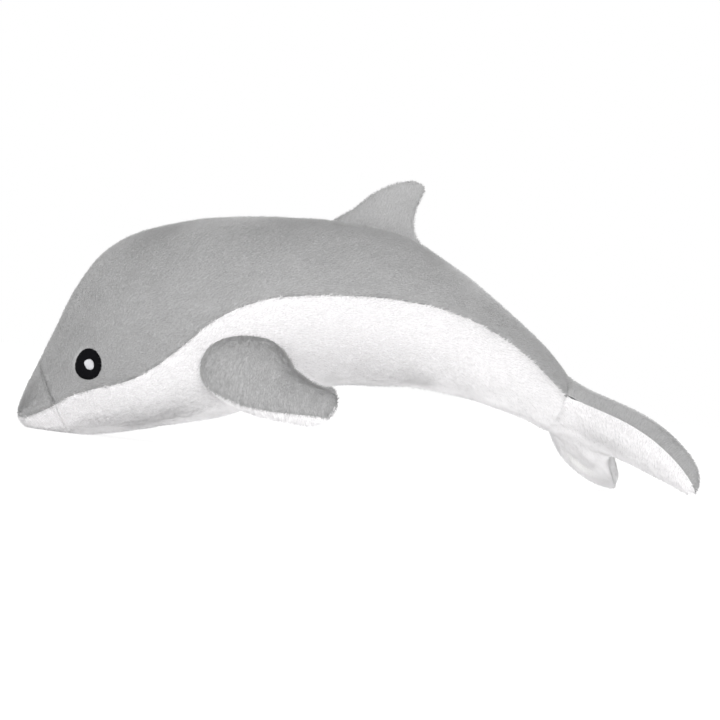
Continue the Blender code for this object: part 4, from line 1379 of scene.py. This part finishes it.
def tube_filling(name, rings, inset, replaced, seed):
    """Polyester filling of a tube: a lumpy closed form well inside its cloth."""
    columns = 32
    degrees = np.tile(np.linspace(0, 360, columns + 1)[:-1][None], (len(rings.centre), 1))
    points = rings.points(degrees, inset) + ORIGIN
    outward = unit(points - rings.centre[:, None] - ORIGIN)
    points = points + outward * (0.0006 * wander(points, 90.0, seed))[..., None]
    points[..., 2] = np.maximum(points[..., 2], FILLING_CLEARANCE)
    rows = len(points)
    index = np.arange(rows * columns).reshape(rows, columns)
    around = np.roll(index, -1, axis=1)
    quads = np.stack((index[:-1], around[:-1], around[1:], index[1:]), -1).reshape(-1, 4)
    faces = quads.tolist() + [index[0].tolist(), index[-1, ::-1].tolist()]
    mesh = bpy.data.meshes.new(name)
    mesh.from_pydata(points.reshape(-1, 3), [], faces)
    finish_mesh(mesh)
    link(name, mesh, material('polyester filling'), (replaced,))


def fluke_filling():
    """Filling of both lobes, thin at the seams."""
    fluke = toy().fluke
    u = np.linspace(-0.86, 0.86, 47)[None]
    v = np.linspace(0.10, 0.88, 17)[:, None]
    t = np.abs(u) + 0 * v
    sides = []
    for face in (1, -1):
        full = fluke.height(t, v, face)
        height = np.maximum(full - 0.0055, 0.18 * full)
        sides.append(fluke.point(u + 0 * v, v + 0 * u, face, height) + ORIGIN)
    sheet = Sheet('fluke_filling', sides[0], sides[0] - sides[1], np.gradient(sides[0], axis=0))
    mesh = shell_between('fluke_filling', sheet, sides[1])
    link('fluke_filling', mesh, material('polyester filling'), ('fluke_stuffing',))


def embroidery_tree():
    """Lays round threads along the edges of a mesh."""
    tree, nodes, start, end = new_tree('Satin stitch', (
        ('Thread radius', 'Float'), ('Material', 'Material')))
    given = start.outputs
    paths = nodes.add('GeometryNodeMeshToCurve', {'Mesh': given['Geometry']}).outputs[0]
    along = nodes.add('GeometryNodeSplineParameter').outputs['Factor']
    paths = nodes.store(paths, 'along', along, 'FLOAT', 'POINT')
    profile = nodes.add('GeometryNodeCurvePrimitiveCircle', {
        'Resolution': 6, 'Radius': given['Thread radius']}).outputs[0]
    around = nodes.add('GeometryNodeSplineParameter').outputs['Factor']
    profile = nodes.store(profile, 'around', around, 'FLOAT', 'POINT')
    threads = nodes.add('GeometryNodeCurveToMesh', {
        'Curve': paths, 'Profile Curve': profile, 'Fill Caps': True}).outputs[0]
    place = nodes.add('ShaderNodeCombineXYZ', {
        'X': nodes.math('ADD', nodes.named('column', 'FLOAT'),
                        nodes.math('MULTIPLY', nodes.named('around', 'FLOAT'), 0.006)),
        'Y': nodes.math('ADD', 0.02, nodes.math('MULTIPLY', nodes.named('along', 'FLOAT'), 0.96))})
    threads = nodes.store(threads, 'OFBake', place.outputs[0], 'FLOAT2', 'CORNER')
    real = nodes.add('GeometryNodeRealizeInstances', {'Geometry': threads}).outputs[0]
    done = nodes.add('GeometryNodeSetMaterial', {'Geometry': real, 'Material': given['Material']})
    tree.links.new(done.outputs[0], end.inputs[0])
    return tree


def stitch(name, paths, tints, radius, finish, replaced):
    """Makes the threads that follow paths, an array of threads by points by 3."""
    count, length = paths.shape[:2]
    index = np.arange(count * length).reshape(count, length)
    edges = np.stack((index[:, :-1], index[:, 1:]), -1).reshape(-1, 2)
    mesh = bpy.data.meshes.new(name)
    mesh.from_pydata(paths.reshape(-1, 3), edges.tolist(), [])
    add_values(mesh, 'tint', 'FLOAT', 'POINT', np.repeat(tints, length))
    add_values(mesh, 'column', 'FLOAT', 'POINT',
               np.repeat(0.01 + 0.97 * np.arange(count) / count, length))
    tree = bpy.data.node_groups.get('Satin stitch') or embroidery_tree()
    made = run_tree(mesh, tree, {'Thread radius': radius, 'Material': material(finish)})
    for key in ('along', 'around', 'column'):
        if key in made.attributes:
            made.attributes.remove(made.attributes[key])
    made.shade_smooth()
    link(name, made, material(finish), replaced)


# ---------------------------------------------------------------- operators

class DOLPHIN_OT_body(bpy.types.Operator):
    """Sew the snout, the two back panels and the belly, and grow their pile"""
    bl_idname = "dolphin.body"
    bl_label = "Body panels"

    def execute(self, context):
        sew('snout_top', 'grey', 101)
        sew('snout_under', 'white', 111)
        sew('back_left', 'grey', 121)
        sew('back_right', 'grey', 131)
        sew('belly', 'white', 141, halves=2)
        return {'FINISHED'}


class DOLPHIN_OT_dorsal_fin(bpy.types.Operator):
    """Sew the dorsal fin's two sides and grow their pile"""
    bl_idname = "dolphin.dorsal_fin"
    bl_label = "Dorsal fin"

    def execute(self, context):
        for number, side in enumerate(('left', 'right')):
            sew('dorsal_fin_' + side, 'grey', 151 + 10 * number, 0.7)
        return {'FINISHED'}


class DOLPHIN_OT_flippers(bpy.types.Operator):
    """Sew both flippers, grey above and white below, and grow their pile"""
    bl_idname = "dolphin.flippers"
    bl_label = "Flippers"

    def execute(self, context):
        for number, side in enumerate(('left', 'right')):
            sew(f'flipper_{side}_top', 'grey', 171 + 10 * number, clumping=1.0)
            sew(f'flipper_{side}_under', 'white', 191 + 10 * number, clumping=0.7)
        return {'FINISHED'}


class DOLPHIN_OT_flukes(bpy.types.Operator):
    """Sew the tail flukes, grey above and white below, and grow their pile"""
    bl_idname = "dolphin.flukes"
    bl_label = "Tail flukes"

    def execute(self, context):
        sew('fluke_top', 'grey', 211)
        sew('fluke_under', 'white', 221)
        return {'FINISHED'}


class DOLPHIN_OT_eyes(bpy.types.Operator):
    """Embroider both eyes: a ring of black satin stitch round a pale middle"""
    bl_idname = "dolphin.eyes"
    bl_label = "Eyes"

    def execute(self, context):
        eyes = context.scene.dolphin_eyes
        seat = EyeSeat()
        chance = np.random.default_rng(7)
        share = np.linspace(0, 1, EYE_POINTS)
        arch = np.sin(math.pi * share) ** 0.45
        for label, sign in (('left', 1), ('right', -1)):
            count = eyes.ring_threads
            turn = 2 * math.pi * (np.arange(count) + chance.uniform(-0.3, 0.3, count)) / count
            inner = 0.86 + chance.uniform(-0.05, 0.03, count)
            outer = 1.0 + chance.uniform(-0.02, 0.02, count)
            start_x = EYE_LIGHT_SHIFT[0] + EYE_LIGHT_SIZE[0] / 2 * inner * np.cos(turn)
            start_z = EYE_LIGHT_SHIFT[1] + EYE_LIGHT_SIZE[1] / 2 * inner * np.sin(turn)
            end_x = EYE_RING_SHIFT[0] + EYE_SIZE[0] / 2 * 1.04 * outer * np.cos(turn)
            end_z = EYE_RING_SHIFT[1] + EYE_SIZE[1] / 2 * outer * np.sin(turn)
            along = start_x[:, None] + (end_x - start_x)[:, None] * share
            up = start_z[:, None] + (end_z - start_z)[:, None] * share
            lift = chance.uniform(-0.00012, 0.00012, count)[:, None]
            raised = -0.0010 + (0.0016 + lift) * arch
            paths = seat.points(along.ravel(), up.ravel(), raised.ravel(), sign)
            stitch('eye_ring_' + label + '_threads', paths.reshape(count, len(share), 3),
                   chance.uniform(0, 1, count), eyes.thread_width / 2, 'black embroidery',
                   ('eye_ring_' + label,))
            count = eyes.light_threads
            across = np.linspace(-0.94, 0.94, count) + chance.uniform(-0.02, 0.02, count)
            half = (np.sqrt(np.maximum(1 - across ** 2, 0))
                    * (1 + chance.uniform(-0.08, 0.08, count)))
            slant = math.radians(68)
            reach = half[:, None] * (2 * share - 1)
            local_x = reach * math.cos(slant) + across[:, None] * math.sin(slant)
            local_z = reach * math.sin(slant) - across[:, None] * math.cos(slant)
            along = EYE_LIGHT_SHIFT[0] + local_x * EYE_LIGHT_SIZE[0] / 2 * 1.08
            up = EYE_LIGHT_SHIFT[1] + local_z * EYE_LIGHT_SIZE[1] / 2 * 1.08
            raised = np.tile(-0.0012 + 0.0019 * arch, (count, 1))
            paths = seat.points(along.ravel(), up.ravel(), raised.ravel(), sign)
            stitch('eye_light_' + label + '_threads', paths.reshape(count, len(share), 3),
                   chance.uniform(0, 1, count), eyes.thread_width / 2, 'silver embroidery',
                   ('eye_light_' + label,))
        return {'FINISHED'}


class DOLPHIN_OT_filling(bpy.types.Operator):
    """Put the polyester filling in the body, the fin, the flippers and the flukes"""
    bl_idname = "dolphin.filling"
    bl_label = "Filling"

    def execute(self, context):
        rings = body_rings(even_stations(1.2, LAST_STATION - 0.15, 70))
        tube_filling('body_filling', rings, 0.0065, 'body_stuffing', 51)
        rings = fin_rings(POCKET_ROWS)
        rings.keep(slice(10, POCKET_ROWS - 12))
        tube_filling('dorsal_fin_filling', rings, 0.0042, 'fin_stuffing', 52)
        for side, sign in (('left', 1), ('right', -1)):
            rings = flipper_rings(sign, FLIPPER_ROWS)
            rings.keep(slice(14, FLIPPER_ROWS - 16))
            tube_filling(f'flipper_{side}_filling', rings, 0.0050, f'flipper_{side}_stuffing',
                         53)
        fluke_filling()
        return {'FINISHED'}


class DOLPHIN_OT_stage(bpy.types.Operator):
    """Set out the floor, the even light and the camera"""
    bl_idname = "dolphin.stage"
    bl_label = "Stage"

    def execute(self, context):
        stage = context.scene.dolphin_stage
        size = stage.floor_size / 2
        mesh = bpy.data.meshes.new('floor')
        mesh.from_pydata([(-size, -size, 0), (size, -size, 0), (size, size, 0), (-size, size, 0)],
                         [], [(0, 1, 2, 3)])
        floor = bpy.data.objects.new('floor', mesh)
        context.scene.collection.objects.link(floor)
        mesh.materials.append(floor_material())
        make_world(context.scene, stage.sky_level)
        make_lamp(context.scene, 'key', (-0.3, -1.5, 1.0), 1.6, stage.key_power * 0.8)
        make_lamp(context.scene, 'low', (0.1, -1.5, 0.3), 1.2, stage.key_power * 1.1)
        make_lamp(context.scene, 'back', (0.2, 1.5, 1.2), 1.6, stage.key_power * 0.6)
        make_camera(context.scene, stage)
        return {'FINISHED'}


def seen_directly(nodes):
    """1 for rays that show the background: straight to the camera, mirrored or through glass."""
    path = nodes.add('ShaderNodeLightPath').outputs
    seen = nodes.math('MAXIMUM', path['Is Camera Ray'], path['Is Glossy Ray'])
    return nodes.math('MAXIMUM', seen, path['Is Transmission Ray'])


def floor_material():
    """Pale matt floor that looks white and keeps a faint shadow."""
    made = bpy.data.materials.new('pale floor')
    made.use_nodes = True
    tree = made.node_tree
    tree.nodes.clear()
    nodes = Nodes(tree)
    spot = nodes.add('ShaderNodeTexCoord').outputs['Object']
    cloud = nodes.add('ShaderNodeTexNoise', {'Vector': spot, 'Scale': 3.0, 'Detail': 2.0})
    pale = nodes.math('ADD', 0.50, nodes.math('MULTIPLY', cloud.outputs['Fac'], 0.02))
    colour = nodes.add('ShaderNodeCombineColor', {'Red': pale, 'Green': pale, 'Blue': pale})
    matt = nodes.add('ShaderNodeBsdfDiffuse', {'Color': colour.outputs[0]})
    table = nodes.add('ShaderNodeEmission', {'Color': (1, 1, 1, 1), 'Strength': 0.80})
    plain = nodes.add('ShaderNodeAddShader', {0: matt.outputs[0], 1: table.outputs[0]})
    lit = nodes.add('ShaderNodeBsdfDiffuse', {'Color': (0.25, 0.25, 0.25, 1.0)})
    glow = nodes.add('ShaderNodeEmission', {'Color': (1, 1, 1, 1), 'Strength': 0.82})
    shown = nodes.add('ShaderNodeAddShader', {0: lit.outputs[0], 1: glow.outputs[0]})
    mix = nodes.add('ShaderNodeMixShader', {
        0: seen_directly(nodes), 1: plain.outputs[0], 2: shown.outputs[0]})
    out = nodes.add('ShaderNodeOutputMaterial', {'Surface': mix.outputs[0]})
    out.is_active_output = True
    return made


def make_world(scene, level):
    world = bpy.data.worlds.new('room')
    scene.world = world
    world.use_nodes = True
    tree = world.node_tree
    tree.nodes.clear()
    nodes = Nodes(tree)
    room = nodes.add('ShaderNodeBackground', {'Color': (1, 1, 1, 1), 'Strength': level})
    white = nodes.add('ShaderNodeBackground', {'Color': (1, 1, 1, 1), 'Strength': 1.0})
    mix = nodes.add('ShaderNodeMixShader', {
        0: seen_directly(nodes), 1: room.outputs[0], 2: white.outputs[0]})
    nodes.add('ShaderNodeOutputWorld', {'Surface': mix.outputs[0]})


def make_lamp(scene, name, place, size, power):
    lamp = bpy.data.lights.new(name, 'AREA')
    lamp.size = size
    lamp.energy = power
    made = bpy.data.objects.new(name, lamp)
    scene.collection.objects.link(made)
    made.location = place
    aim = Vector((0, 0, 0.06)) - Vector(place)
    made.rotation_euler = aim.to_track_quat('-Z', 'Y').to_euler()


def make_camera(scene, stage):
    lens = bpy.data.cameras.new('camera')
    camera = bpy.data.objects.new('camera', lens)
    scene.collection.objects.link(camera)
    roll = stage.camera_roll
    right = Vector((math.cos(roll), 0, math.sin(roll)))
    up = Vector((-math.sin(roll), 0, math.cos(roll)))
    ahead = Vector((0, 1, 0))
    aim = Vector((CAMERA_AIM[0] + ORIGIN[0], ORIGIN[1], CAMERA_AIM[1]))
    turn = Matrix((right, up, -ahead)).transposed().to_4x4()
    turn.translation = aim - ahead * stage.camera_distance
    camera.matrix_world = turn
    lens.sensor_width = 36.0
    lens.lens = 36.0 * stage.camera_distance / stage.view_width
    lens.clip_end = 50.0
    scene.camera = camera
    scene.view_settings.view_transform = 'Standard'


class DOLPHIN_PT_panel(bpy.types.Panel):
    bl_label = "Plush dolphin"
    bl_idname = "DOLPHIN_PT_panel"
    bl_space_type = 'VIEW_3D'
    bl_region_type = 'UI'
    bl_category = "Dolphin"

    def draw(self, context):
        layout = self.layout
        for group in (context.scene.dolphin_plush, context.scene.dolphin_eyes,
                      context.scene.dolphin_stage):
            box = layout.box()
            for key in group.__annotations__:
                box.prop(group, key)
        for operator in OPERATORS:
            layout.operator(operator.bl_idname)


OPERATORS = (DOLPHIN_OT_body, DOLPHIN_OT_dorsal_fin, DOLPHIN_OT_flippers, DOLPHIN_OT_flukes,
             DOLPHIN_OT_eyes, DOLPHIN_OT_filling, DOLPHIN_OT_stage)
CLASSES = (PlushSettings, EyeSettings, StageSettings, *OPERATORS, DOLPHIN_PT_panel)


def register():
    for made in CLASSES:
        bpy.utils.register_class(made)
    bpy.types.Scene.dolphin_plush = PointerProperty(type=PlushSettings)
    bpy.types.Scene.dolphin_eyes = PointerProperty(type=EyeSettings)
    bpy.types.Scene.dolphin_stage = PointerProperty(type=StageSettings)


def unregister():
    del bpy.types.Scene.dolphin_plush
    del bpy.types.Scene.dolphin_eyes
    del bpy.types.Scene.dolphin_stage
    for made in reversed(CLASSES):
        bpy.utils.unregister_class(made)


def main():
    register()
    for operator in OPERATORS:
        group, name = operator.bl_idname.split('.')
        getattr(getattr(bpy.ops, group), name)()


if __name__ == "__main__":
    main()
